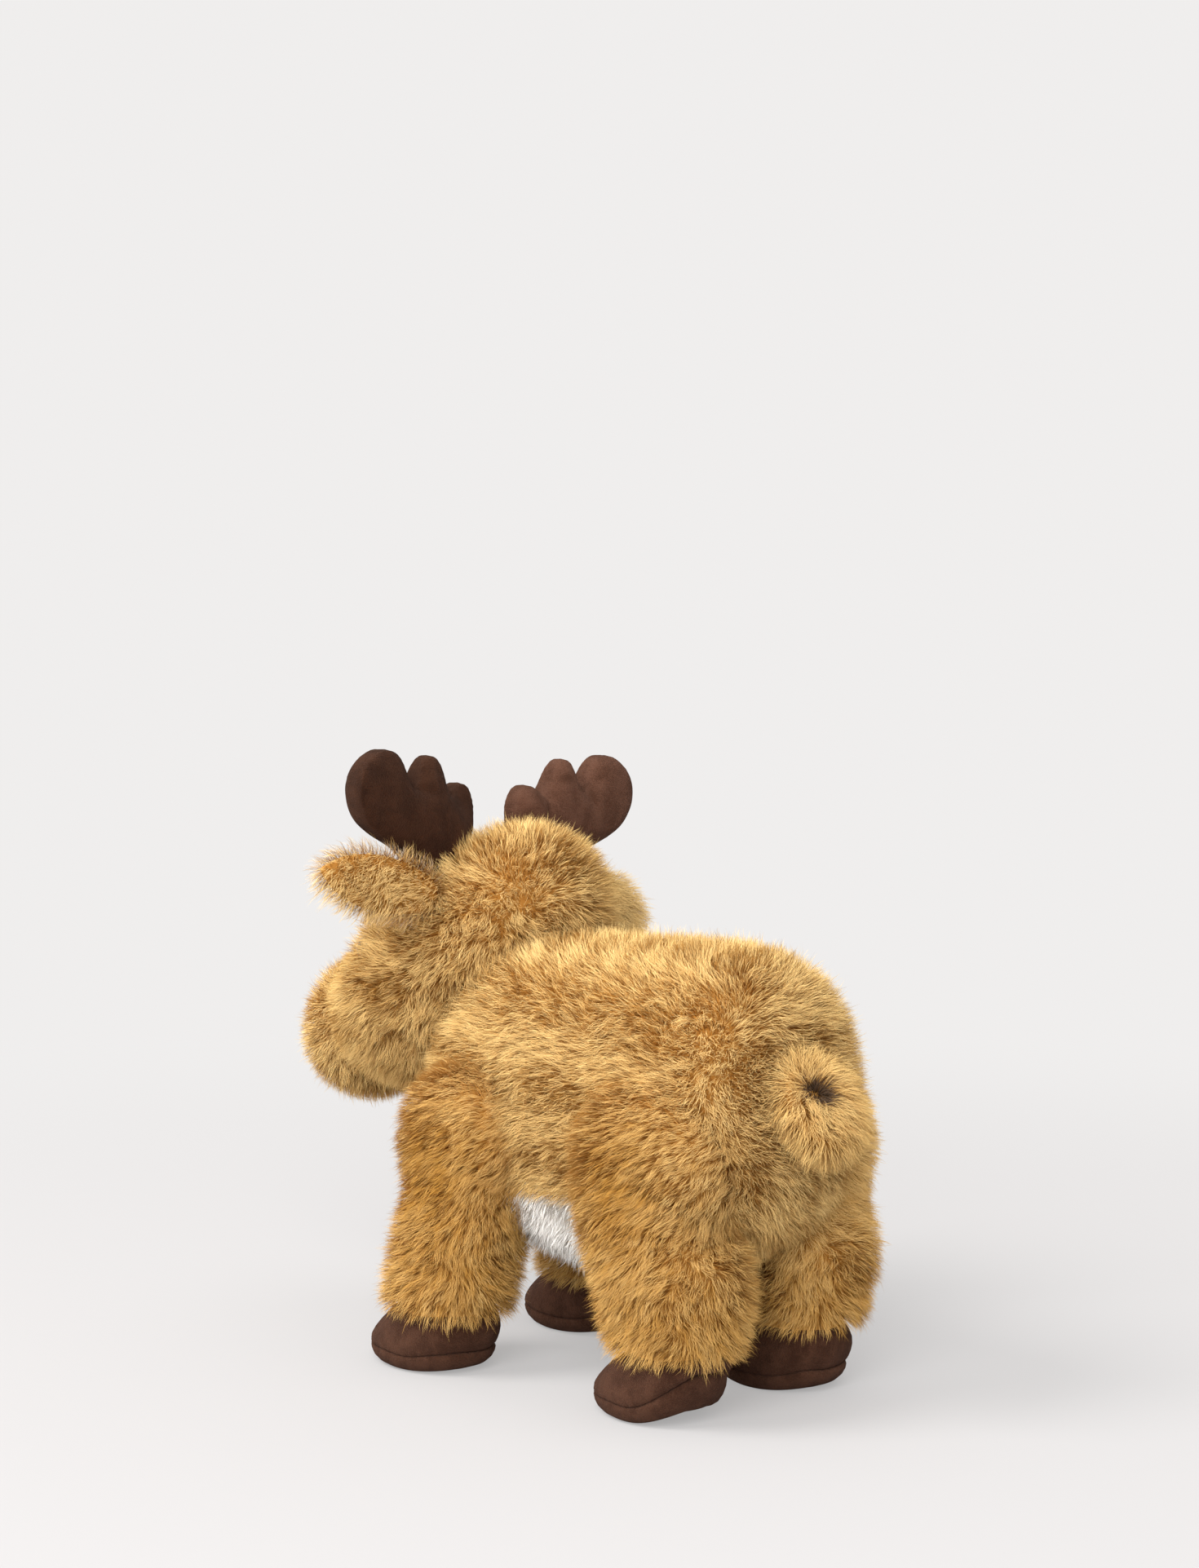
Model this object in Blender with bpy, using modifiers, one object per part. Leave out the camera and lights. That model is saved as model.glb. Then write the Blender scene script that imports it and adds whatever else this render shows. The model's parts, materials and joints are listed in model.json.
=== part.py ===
"""A standing plush deer: a long-pile fur animal with suede-like antlers and hooves, built panel by panel.

Metres, +Z up. The deer looks along -Y, and its left side is +X. Lengths along the deer are measured from the
middle of its four feet, minus towards the nose, and heights from the floor. At the end the whole deer is moved
so that the middle of its bounding box stands over the origin.
"""

import math

import bmesh
import bpy
from mathutils import Matrix, Vector

# Fabrics and seams
PILE = 0.010  # fur fabric: backing and standing pile together
BACKING = 0.0022  # fur backing alone
VELOUR = 0.0018  # short-pile fabric of the antlers and hooves
SEAM_GAP = 0.0003  # between pieces that lie against each other
LAP_GAP = 0.0006  # between two rounded forms with unlike facets, one wrapped round the other
TURNING_GAP = 0.0012  # round the neck's dome
FLEX_ROOM = 0.0035  # between a sewn flap's blade and the head or rump that it stands on

# Torso: front and rear ends, the height of its axis, and its greatest half width, rise and drop from the axis
BODY_FRONT = -0.110
BODY_REAR = 0.127
BODY_AXIS_HEIGHT = 0.134
BODY_HALF_WIDTH = 0.062
BODY_FULLNESS = 0.86  # under 1 squares a section's shoulders, and 1 leaves it an ellipse
BODY_RISE = 0.077
BODY_DROP = 0.084
# Share of the length, then shares of the half width, rise and drop there
BODY_SHARES = (
    (0.0, 0.0, 0.0, 0.0),
    (0.03, 0.48, 0.44, 0.40),
    (0.12, 0.78, 0.80, 0.70),
    (0.27, 0.92, 0.98, 0.90),
    (0.45, 0.98, 1.0, 1.0),
    (0.63, 1.0, 1.03, 1.0),
    (0.80, 1.02, 1.05, 0.88),
    (0.92, 0.94, 0.97, 0.68),
    (0.985, 0.62, 0.64, 0.40),
    (1.0, 0.0, 0.0, 0.0),
)

# White belly panel, let in between the legs
BELLY_FRONT = -0.078
BELLY_REAR = 0.072
BELLY_LINE = 0.095  # height of its long seams

# Neck: the head turns on a stuffed dome that stands on the neck seam
NECK_SEAM_BACK = (0.0, -0.030, 0.204)  # where the seam meets the back
NECK_TILT = math.radians(38)  # the seam faces forward by this
NECK_ALONG_SEAM = 0.048  # from the back of the seam to the neck's axis
NECK_BALL_RADIUS = 0.025
NECK_BALL_SINK = 0.010  # of the ball's centre under the seam
NECK_BALL_ROOT = 0.0009  # how far the dome reaches down into the body's stuffing

# Head
HEAD_YAW = math.radians(-3)  # at rest the deer looks a little to its right,
HEAD_ROLL = math.radians(-5)  # and hangs its head a little to that side
HEAD_BACK = -0.022
HEAD_FRONT = -0.184
HEAD_BACK_HEIGHT = 0.220
HEAD_FRONT_HEIGHT = 0.150
HEAD_HALF_WIDTH = 0.058
HEAD_RISE = 0.059
HEAD_DROP = 0.056
HEAD_SHARES = (
    (0.0, 0.0, 0.0, 0.0),
    (0.04, 0.50, 0.46, 0.46),
    (0.16, 0.82, 0.84, 0.80),
    (0.35, 1.0, 1.04, 1.0),
    (0.54, 1.02, 0.98, 1.0),
    (0.72, 0.96, 0.88, 0.92),
    (0.87, 0.78, 0.70, 0.72),
    (0.97, 0.40, 0.34, 0.38),
    (1.0, 0.0, 0.0, 0.0),
)

# Muzzle: a round cup sewn over the front of the head
MUZZLE_BACK = -0.136
MUZZLE_FRONT = -0.211
MUZZLE_BACK_HEIGHT = 0.152
MUZZLE_FRONT_HEIGHT = 0.143
MUZZLE_HALF_WIDTH = 0.043
MUZZLE_RISE = 0.040
MUZZLE_DROP = 0.042
MUZZLE_SHARES = (
    (0.0, 0.0, 0.0, 0.0),
    (0.06, 0.56, 0.56, 0.56),
    (0.26, 0.92, 0.92, 0.92),
    (0.52, 1.0, 1.0, 1.0),
    (0.76, 0.90, 0.90, 0.90),
    (0.93, 0.58, 0.58, 0.58),
    (1.0, 0.0, 0.0, 0.0),
)

# Nose pad
NOSE_HALF_SIZE = (0.014, 0.006, 0.010)
NOSE_PLACE_SHARES = (0.0, 0.9333, 0.31)  # of the muzzle's half width, length from its back, and rise

# Eyes: a dome with a shank through the fur fabric, and a washer pressed on behind it
EYE_RADIUS = 0.0075
EYE_BULGE = 0.0062  # height of the dome
EYE_DOME_SHARES = (0.0, 0.25, 0.5, 0.75, 0.92)  # of the quarter circle from its top to its rim
EYE_PLACE_SHARES = (0.6724, 0.7284, 0.3557)  # the same shares of the head, for the middle of the dome's flat back
EYE_OUT = math.radians(52)  # its axis leans out from straight ahead by this
EYE_UP = math.radians(16)
EYE_SHANK_RADIUS = 0.0020
EYE_SHANK_LENGTH = 0.0120
EYE_SEAT_FLARE = 0.0035  # the fur is trimmed back to a cone this much wider than the dome
WASHER_RADIUS = 0.0065
WASHER_THICKNESS = 0.0016
WASHER_DEPTH = 0.0062  # of its front face behind the dome's flat back

# Sewn flaps: ears, tail and antlers turn about their base seams on rounded roots.
# Ears. Shares of the length, half width and half thickness
EAR_ROOT_SHARES = (0.8276, 0.3457, 0.4273)  # of the head's half width, length from its back, and rise
EAR_LENGTH = 0.060
EAR_HALF_WIDTH = 0.0175
EAR_HALF_THICKNESS = 0.0085
EAR_ROOT_HALF_LENGTH = 0.013
EAR_SWEEP = math.radians(20)  # forward
LEFT_EAR_RISE = math.radians(12)
RIGHT_EAR_RISE = math.radians(-16)
EAR_LINING_DEPTH = 0.0035  # of the pale front layer
EAR_SHARES = (
    (0.0, 0.0, 0.0),
    (0.03, 0.62, 0.80),
    (0.16, 0.84, 1.0),
    (0.36, 1.0, 1.0),
    (0.60, 1.0, 0.94),
    (0.82, 0.78, 0.80),
    (0.95, 0.42, 0.50),
    (1.0, 0.0, 0.0),
)

# Tail
TAIL_ROOT_SHARES = (0.0, 0.9768, 0.3636)  # of the body's half width, length from its front, and rise
TAIL_LENGTH = 0.044
TAIL_HALF_WIDTH = 0.022
TAIL_HALF_THICKNESS = 0.0100
TAIL_ROOT_HALF_LENGTH = 0.016
TAIL_DROOP = math.radians(47)  # below straight back
TAIL_LINING_DEPTH = 0.0035  # of the dark layer on its upper side
TAIL_SHARES = (
    (0.0, 0.0, 0.0),
    (0.05, 0.72, 0.78),
    (0.24, 0.92, 0.94),
    (0.50, 1.0, 1.0),
    (0.74, 0.88, 0.92),
    (0.92, 0.54, 0.60),
    (1.0, 0.0, 0.0),
)

# Antlers
ANTLER_ROOT_SHARES = (0.5172, 0.4630, 0.9052)  # of the head's half width, length from its back, and rise
ANTLER_ROOT_RADIUS = 0.0110
ANTLER_ROOT_HALF_LENGTH = 0.0150
ANTLER_HEIGHT = 0.050  # from the root to the tops of the lobes
# Shares of that height. Each lobe: foot and tip as (up, out), half width at foot and tip, half thickness
ANTLER_LOBE_SHARES = {
    "palm": ((0.20, 0.08), (0.38, 0.88), 0.27, 0.33, 0.25),
    "outer_lobe": ((0.36, 0.84), (0.72, 0.96), 0.33, 0.27, 0.24),
    "middle_tine": ((0.36, 0.36), (0.84, 0.38), 0.24, 0.15, 0.19),
    "inner_tine": ((0.20, 0.12), (0.58, -0.16), 0.20, 0.13, 0.176),
}
ANTLER_OPENING_RADIUS = 0.0065
LOBE_END_SHARE = 1 / 6  # of a lobe's rings that make the round end at its foot, and as many at its tip

# Legs. Places and half sizes are (out, back); the haunch is round about the line that the leg swings on
LEG_SWING = math.radians(9)
LEG_ROOM = 0.0024  # round the shaft of a leg that swings
SHAFT_TOP_SHARE = 0.25  # of the haunch's radius, that the shaft starts above the hip
SHAFT_END_SHARES = (0.25, 0.33)  # of the hip's height over the ankle, that its two last rings lie under it
LEGS = {
    "front": {
        "ankle_height": 0.028,
        "hip": (0.0480, -0.050, 0.112),
        "haunch_half_width": 0.0310,
        "haunch_radius": 0.0420,
        "knee_height": 0.062,
        "knee_place": (0.0500, -0.056),
        "knee_half_size": (0.0315, 0.0360),
        "ankle_place": (0.0520, -0.063),
        "ankle_half_size": (0.0310, 0.0330),
    },
    "hind": {
        "ankle_height": 0.032,
        "hip": (0.0440, 0.070, 0.117),
        "haunch_half_width": 0.0340,
        "haunch_radius": 0.0490,
        "knee_height": 0.066,
        "knee_place": (0.0430, 0.078),
        "knee_half_size": (0.0345, 0.0430),
        "ankle_place": (0.0415, 0.079),
        "ankle_half_size": (0.0300, 0.0330),
    },
}

# Hooves
HOOF_HALF_WIDTH = 0.0260
HOOF_HALF_LENGTH = 0.0350
HOOF_AHEAD = 0.0090  # of the middle of the ankle
HOOF_NECK_HALF_SIZE = 0.0180  # where it enters the leg
HOOF_TOP = 0.0370
SOLE_SEAM = 0.0065  # height of the seam between sole and upper
# Shares of the height, of the change from foot size to neck size, and of the reach ahead of the ankle
HOOF_SHARES = (
    (-0.20, 0.30, 1.0),
    (-0.06, 0.12, 1.0),
    (0.10, 0.02, 1.0),
    (0.34, 0.0, 1.0),
    (0.56, 0.30, 0.70),
    (0.72, 0.94, 0.06),
    (1.0, 1.0, 0.0),
    (1.35, 1.0, 0.0),
    (1.50, 1.0, 0.0),
)

# How finely the forms are divided
BODY_SEGMENTS = 10
HEAD_SEGMENTS = 8
MUZZLE_SEGMENTS = 7
LEG_SEGMENTS = 6
HOOF_SEGMENTS = 12
FLAP_SEGMENTS = 6
LOBE_SEGMENTS = 8
LOBE_INNER_SEGMENTS = 6
LOBE_RINGS = 6
TURNED_SEGMENTS = 16
TURNED_RINGS = 7
ROOT_SEGMENTS = 12
ROOT_RINGS = 6
SMALL_SEGMENTS = 12
CUT_REACH = 0.40  # size of the blocks that cut everything on one side of a plane
THINNEST_SHARE = 0.5  # of a ring's size, that an inset leaves at least
WELD_DISTANCE = 0.00003

# Colours as light reflected: red, green, blue
FUR_COLOUR = (0.55, 0.30, 0.095, 1)
WHITE_FUR_COLOUR = (0.86, 0.80, 0.72, 1)
VELOUR_COLOUR = (0.062, 0.026, 0.017, 1)
PLASTIC_COLOUR = (0.012, 0.009, 0.008, 1)
WASHER_COLOUR = (0.75, 0.75, 0.72, 1)
STUFFING_COLOUR = (0.82, 0.81, 0.78, 1)


def clear_scene():
    for thing in list(bpy.data.objects):
        bpy.data.objects.remove(thing, do_unlink=True)


def new_collection(name):
    made = bpy.data.collections.new(name)
    bpy.context.scene.collection.children.link(made)
    return made


def new_material(name, colour, roughness):
    made = bpy.data.materials.new(name)
    made.use_nodes = True
    shader = made.node_tree.nodes["Principled BSDF"]
    shader.inputs["Base Color"].default_value = colour
    shader.inputs["Roughness"].default_value = roughness
    shader.inputs["Metallic"].default_value = 0.0
    made.diffuse_color = colour
    return made


class Workshop:
    """The collections, the fabrics, and the empties that the pieces hang on."""

    def __init__(self):
        self.parts = new_collection("plush_deer")
        self.cutters = new_collection("cutters")
        self.deer = self.pivot("deer", Vector((0, 0, 0)))
        self.fur = new_material("tan_fur", FUR_COLOUR, 0.95)
        self.white_fur = new_material("white_fur", WHITE_FUR_COLOUR, 0.95)
        self.velour = new_material("brown_velour", VELOUR_COLOUR, 0.90)
        self.plastic = new_material("black_plastic", PLASTIC_COLOUR, 0.12)
        self.washer = new_material("washer_plastic", WASHER_COLOUR, 0.40)
        self.stuffing = new_material("polyester_fibre", STUFFING_COLOUR, 1.0)

    def pivot(self, name, place, yaw=0.0, roll=0.0):
        """An empty on a joint's axis."""
        made = bpy.data.objects.new(name, None)
        self.parts.objects.link(made)
        if name != "deer":
            made.parent = self.deer
        made.location = place
        made.rotation_euler = (0, roll, yaw)
        return made

    def add(self, name, fill, material=None, on=None, place=None, rounded=False):
        """A new object from a bmesh. With a material it is a piece of the deer, and without one a cutter.

        Forms are drawn where they stand with the head straight, so a pivot's own place is taken off again.
        """
        bm = bmesh.new()
        fill(bm)
        bmesh.ops.recalc_face_normals(bm, faces=bm.faces)
        if bm.calc_volume(signed=True) < 0:
            bmesh.ops.reverse_faces(bm, faces=bm.faces)
        mesh = bpy.data.meshes.new(name)
        bm.to_mesh(mesh)
        bm.free()
        mesh.shade_smooth()
        made = bpy.data.objects.new(name, mesh)
        if material:
            self.parts.objects.link(made)
            mesh.materials.append(material)
        else:
            self.cutters.objects.link(made)
            made.hide_render = True
            made.display_type = "WIRE"
        made.parent = on or self.deer
        if on:
            made.matrix_parent_inverse = Matrix.Translation(-on.location)
        if place:
            made.matrix_basis = place
        if rounded:
            rounding = made.modifiers.new("rounding", "SUBSURF")
            rounding.levels = 1
            rounding.render_levels = 1
        return made


def combine(target, operation, others, solver="EXACT"):
    for other in others:
        step = target.modifiers.new(operation.lower(), "BOOLEAN")
        step.operation = operation
        step.solver = solver
        step.object = other
    return target


def subtract(target, *others, solver="EXACT"):
    return combine(target, "DIFFERENCE", others, solver)


def join(target, *others, solver="EXACT"):
    return combine(target, "UNION", others, solver)


def keep_inside(target, *others):
    return combine(target, "INTERSECT", others)


def rings(stations, segments, rounded=True, fullness=1.0):
    """Fills a bmesh with a sphere whose rings take the stations in turn.

    A station is (centre, across, up, down): its ring runs through centre + across, centre + up,
    centre - across and centre - down. The first and last stations are the closed ends. Fullness under 1
    squares the shoulders. Rounding by subdivision draws a ring in, so a form that will be rounded starts
    that much larger.
    """
    growth = 4 / (3 + math.cos(2 * math.pi / segments)) if rounded else 1

    def fill(bm):
        bmesh.ops.create_uvsphere(bm, u_segments=segments, v_segments=len(stations) - 1, radius=1)
        for vertex in bm.verts:
            polar = math.acos(max(-1.0, min(1.0, vertex.co.z)))
            centre, across, up, down = stations[round(polar / math.pi * (len(stations) - 1))]
            turn = math.atan2(vertex.co.y, vertex.co.x)
            level, upright = math.cos(turn), math.sin(turn)
            height = up if upright > 0 else down
            level = math.copysign(abs(level) ** fullness, level)
            upright = math.copysign(abs(upright) ** fullness, upright)
            vertex.co = centre + (across * level + height * upright) * growth

    return fill


def lengthwise(shares, front, rear, front_height, rear_height, half_size, inset=0.0):
    """Stations of upright rings from front to rear, drawn in by the inset all round."""
    half_width, rise, drop = half_size
    inward = inset * math.copysign(1, rear - front)
    stations = []
    for along, width_share, rise_share, drop_share in shares:
        place = front + inward + along * (rear - front - 2 * inward)
        height = front_height + along * (rear_height - front_height)
        drawn_in = [
            share and max(size * share - inset, size * share * THINNEST_SHARE)
            for size, share in ((half_width, width_share), (rise, rise_share), (drop, drop_share))
        ]
        stations.append((
            Vector((0, place, height)),
            Vector((drawn_in[0], 0, 0)),
            Vector((0, 0, drawn_in[1])),
            Vector((0, 0, drawn_in[2])),
        ))
    return stations


def flap(shares, length, half_width, half_thickness):
    """Stations of a blade along local X, wide along Y and thick along Z."""
    return [
        (Vector((along * length, 0, 0)), Vector((0, half_width * width, 0)),
         Vector((0, 0, half_thickness * thickness)), Vector((0, 0, half_thickness * thickness)))
        for along, width, thickness in shares
    ]


def lobe(shares, inset=0.0):
    """Stations of a padded lobe between two points in the local XY plane, with round ends."""
    foot, tip, *widths = shares
    foot_half_width, tip_half_width, half_thickness = (share * ANTLER_HEIGHT for share in widths)
    start = Vector((*foot, 0)) * ANTLER_HEIGHT
    step = Vector((*tip, 0)) * ANTLER_HEIGHT - start
    ahead = step.normalized()
    side = Vector((-ahead.y, ahead.x, 0))
    stations = []
    for ring in range(LOBE_RINGS + 1):
        polar = math.pi * ring / LOBE_RINGS
        progress = (1 - math.cos(polar)) / 2
        share = min(max((progress - LOBE_END_SHARE) / (1 - 2 * LOBE_END_SHARE), 0), 1)
        half_width = foot_half_width + share * (tip_half_width - foot_half_width) - inset
        reach = -math.cos(polar) * half_width if share in (0, 1) else 0
        centre = start + step * share + ahead * reach
        full = 1 if 0 < share < 1 else math.sin(polar)
        stations.append((
            centre, side * half_width * full, Vector((0, 0, (half_thickness - inset) * full)),
            Vector((0, 0, (half_thickness - inset) * full)),
        ))
    return stations


def spheroid(radius, half_length, centre=(0, 0, 0), axis="X", fine=(TURNED_SEGMENTS, TURNED_RINGS), gap=None):
    """A ball drawn out along the axis that its piece turns on, or with a gap the seat that it turns in.

    The seat's flats touch the circle that the ball's corners run on, plus the gap. Its corners stand halfway
    between the ball's, so that the ball clears it at every angle, and at rest by no more than the gap.
    """
    segments, ring_count = fine
    step = 2 * math.pi / segments
    if gap is not None:
        radius = (radius + gap) / math.cos(step / 2)
        half_length += gap
    half_step = Matrix.Rotation(0 if gap is None else step / 2, 4, "Z")
    turn = Matrix.Rotation(math.pi / 2, 4, "Y" if axis == "X" else "X")
    shape = Matrix.Translation(centre) @ turn @ half_step @ Matrix.Diagonal((radius, radius, half_length, 1))
    return lambda bm: bmesh.ops.create_uvsphere(
        bm, u_segments=segments, v_segments=ring_count, radius=1, matrix=shape
    )


def root_form(radius, half_length, gap=None):
    """The rounded root of a sewn flap, along local Y, or its seat."""
    return spheroid(radius, half_length, axis="Y", fine=(ROOT_SEGMENTS, ROOT_RINGS), gap=gap)


def block(low, high):
    """A box between two corners."""
    size = Vector(high) - Vector(low)
    middle = (Vector(high) + Vector(low)) / 2
    shape = Matrix.Translation(middle) @ Matrix.Diagonal((*size, 1))
    return lambda bm: bmesh.ops.create_cube(bm, size=1, matrix=shape)


def rod(radius, low, high, far_radius=None, segments=SMALL_SEGMENTS):
    """A cylinder or cone along Z from low to high."""
    return lambda bm: bmesh.ops.create_cone(
        bm, cap_ends=True, segments=segments, radius1=radius, radius2=far_radius or radius,
        depth=high - low, matrix=Matrix.Translation((0, 0, (low + high) / 2)),
    )


def frame_at(place, ahead, side):
    """The place of a piece whose local X points ahead and local Y to the side."""
    x_axis = Vector(ahead).normalized()
    y_axis = (Vector(side) - Vector(side).dot(x_axis) * x_axis).normalized()
    z_axis = x_axis.cross(y_axis)
    turned = Matrix((x_axis, y_axis, z_axis)).transposed().to_4x4()
    return Matrix.Translation(place) @ turned


def place_on(ends, heights, half_width, rise, shares, side=1):
    """A place on a form by shares of its half width to one side, of its length, and of its rise over its axis."""
    out, along, up = shares
    start, end = ends
    low, high = heights
    return Vector((
        out * side * half_width, start + along * (end - start), low + along * (high - low) + up * rise,
    ))


# The torso
def body_form(inset=0.0):
    stations = lengthwise(
        BODY_SHARES, BODY_FRONT, BODY_REAR, BODY_AXIS_HEIGHT, BODY_AXIS_HEIGHT,
        (BODY_HALF_WIDTH, BODY_RISE, BODY_DROP), inset,
    )
    return rings(stations, BODY_SEGMENTS, fullness=BODY_FULLNESS)


def neck_geometry():
    """The neck's axis, the middle of its seam, and the centre of its ball."""
    axis = Vector((0, -math.sin(NECK_TILT), math.cos(NECK_TILT)))
    down_seam = Vector((0, -math.cos(NECK_TILT), -math.sin(NECK_TILT)))
    middle = Vector(NECK_SEAM_BACK) + down_seam * NECK_ALONG_SEAM
    return axis, middle, middle - axis * NECK_BALL_SINK


def half_space(shop, name, middle, facing, offset):
    """A large block whose near face stands across the facing direction, and fills everything beyond it."""
    reach = CUT_REACH / 2
    form = block((offset, -reach, -reach), (offset + CUT_REACH, reach, reach))
    return shop.add(name, form, place=frame_at(middle, facing, (1, 0, 0)))


def build_torso(shop, leg_cutters, tail_cutter):
    neck_axis, seam_middle, ball_centre = neck_geometry()
    above_seam = half_space(shop, "above_neck_seam", seam_middle, neck_axis, -SEAM_GAP / 2)
    dome_side = half_space(shop, "dome_side", seam_middle, neck_axis, -NECK_BALL_ROOT)
    hollow = shop.add("body_hollow", body_form(PILE), rounded=True)

    low = (-BODY_HALF_WIDTH * 2, BELLY_FRONT, -BODY_DROP)
    high = (BODY_HALF_WIDTH * 2, BELLY_REAR, BELLY_LINE)
    belly_block = shop.add("belly_block", block(low, high))
    grown = Vector((0, SEAM_GAP, SEAM_GAP))
    belly_window = shop.add("belly_window", block(Vector(low) - grown, Vector(high) + grown))

    cover = shop.add("body_cover", body_form(), shop.fur, rounded=True)
    subtract(cover, above_seam, belly_window, hollow, tail_cutter, *leg_cutters)

    belly = shop.add("belly_panel", body_form(), shop.white_fur, rounded=True)
    subtract(keep_inside(belly, belly_block), hollow, *leg_cutters)

    dome = shop.add("neck_dome", spheroid(NECK_BALL_RADIUS, NECK_BALL_RADIUS, ball_centre))
    keep_inside(dome, dome_side)
    filling = shop.add("body_stuffing", body_form(PILE + SEAM_GAP), shop.stuffing, rounded=True)
    subtract(filling, above_seam)
    join(filling, dome)
    subtract(filling, tail_cutter, *leg_cutters)


# The head
def head_stations(inset=0.0):
    return lengthwise(
        HEAD_SHARES, HEAD_BACK, HEAD_FRONT, HEAD_BACK_HEIGHT, HEAD_FRONT_HEIGHT,
        (HEAD_HALF_WIDTH, HEAD_RISE, HEAD_DROP), inset,
    )


def on_head(shares, side):
    return place_on(
        (HEAD_BACK, HEAD_FRONT), (HEAD_BACK_HEIGHT, HEAD_FRONT_HEIGHT), HEAD_HALF_WIDTH, HEAD_RISE, shares, side,
    )


def muzzle_stations(inset=0.0):
    return lengthwise(
        MUZZLE_SHARES, MUZZLE_BACK, MUZZLE_FRONT, MUZZLE_BACK_HEIGHT, MUZZLE_FRONT_HEIGHT,
        (MUZZLE_HALF_WIDTH, MUZZLE_RISE, MUZZLE_DROP), inset,
    )


def build_head(shop, head, flap_cutters):
    neck_axis, seam_middle, ball_centre = neck_geometry()
    below_seam = half_space(shop, "below_neck_seam", seam_middle, -neck_axis, -SEAM_GAP / 2)
    room = NECK_BALL_RADIUS + TURNING_GAP
    neck_recess = shop.add("neck_recess", spheroid(room, room, ball_centre))

    def head_form(label, inset, material=None):
        form = rings(head_stations(inset), HEAD_SEGMENTS)
        return shop.add(label, form, material, on=head, rounded=True)

    def muzzle_form(label, inset, material=None):
        form = rings(muzzle_stations(inset), MUZZLE_SEGMENTS)
        return shop.add(label, form, material, on=head, rounded=True)

    hollow = head_form("head_hollow", PILE)
    muzzle_hollow = muzzle_form("muzzle_hollow", PILE)
    head_clear = head_form("head_clear", -LAP_GAP)
    eye_seats = [build_eye(shop, head, name, side) for name, side in (("left", 1), ("right", -1))]
    nose_seat = shop.add("nose_seat", nose(SEAM_GAP), on=head)
    shop.add("nose", nose(), shop.velour, on=head)

    cover = head_form("head_cover", 0.0, shop.fur)
    subtract(cover, below_seam, neck_recess, hollow, muzzle_hollow, *flap_cutters, *eye_seats)
    muzzle = muzzle_form("muzzle_cover", 0.0, shop.fur)
    subtract(muzzle, head_clear, muzzle_hollow, nose_seat)

    filling = head_form("head_stuffing", PILE + SEAM_GAP, shop.stuffing)
    join(filling, muzzle_form("muzzle_filling", PILE + SEAM_GAP))
    subtract(filling, below_seam, neck_recess, *flap_cutters, *eye_seats)


def nose(gap=0.0):
    place = place_on(
        (MUZZLE_BACK, MUZZLE_FRONT), (MUZZLE_BACK_HEIGHT, MUZZLE_FRONT_HEIGHT), MUZZLE_HALF_WIDTH, MUZZLE_RISE,
        NOSE_PLACE_SHARES,
    )
    shape = Matrix.Translation(place) @ Matrix.Diagonal((*[size + gap for size in NOSE_HALF_SIZE], 1))
    return lambda bm: bmesh.ops.create_uvsphere(
        bm, u_segments=SMALL_SEGMENTS, v_segments=SMALL_SEGMENTS // 2, radius=1, matrix=shape
    )


def build_eye(shop, head, name, side):
    """One safety eye with its washer. Returns the seat that the fur and stuffing are cut back to."""
    place = on_head(EYE_PLACE_SHARES, side)
    level = Vector((math.sin(EYE_OUT) * side, -math.cos(EYE_OUT), 0))
    outward = level * math.cos(EYE_UP) + Vector((0, 0, math.sin(EYE_UP)))
    turned = Matrix.Translation(place) @ outward.to_track_quat("Z", "Y").to_matrix().to_4x4()
    seat_high = EYE_BULGE + PILE
    washer_back = WASHER_DEPTH + WASHER_THICKNESS

    def profile(points):
        """Turns a profile of (radius, height) pairs about the eye's axis, closed on the axis at both ends."""

        def fill(bm):
            made = [bm.verts.new((radius, 0, height)) for radius, height in points]
            edges = [bm.edges.new(pair) for pair in zip(made, made[1:])]
            bmesh.ops.spin(
                bm, geom=made + edges, cent=(0, 0, 0), axis=(0, 0, 1), angle=2 * math.pi,
                steps=SMALL_SEGMENTS, use_merge=True,
            )
            bmesh.ops.remove_doubles(bm, verts=bm.verts, dist=WELD_DISTANCE)

        return fill

    dome = [
        (EYE_RADIUS * math.sin(share * math.pi / 2), EYE_BULGE * math.cos(share * math.pi / 2))
        for share in EYE_DOME_SHARES
    ]
    shank = [
        (EYE_RADIUS, 0), (EYE_SHANK_RADIUS, 0), (EYE_SHANK_RADIUS, -EYE_SHANK_LENGTH), (0, -EYE_SHANK_LENGTH),
    ]
    shop.add(f"{name}_eye", profile(dome + shank), shop.plastic, on=head, place=turned)

    ring_in = EYE_SHANK_RADIUS + SEAM_GAP
    disc = rod(WASHER_RADIUS, -washer_back, -WASHER_DEPTH)
    ring = shop.add(f"{name}_eye_washer", disc, shop.washer, on=head, place=turned)
    subtract(ring, shop.add(f"{name}_washer_bore", rod(ring_in, -washer_back * 2, 0), on=head, place=turned))

    gap = SEAM_GAP
    seat = profile([
        (0, seat_high), (EYE_RADIUS + EYE_SEAT_FLARE, seat_high), (EYE_RADIUS + gap, -gap), (ring_in, -gap),
        (ring_in, -WASHER_DEPTH + gap), (WASHER_RADIUS + gap, -WASHER_DEPTH + gap),
        (WASHER_RADIUS + gap, -washer_back - gap), (ring_in, -washer_back - gap),
        (ring_in, -EYE_SHANK_LENGTH - gap), (0, -EYE_SHANK_LENGTH - gap),
    ])
    return shop.add(f"{name}_eye_seat", seat, on=head, place=turned)


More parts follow.
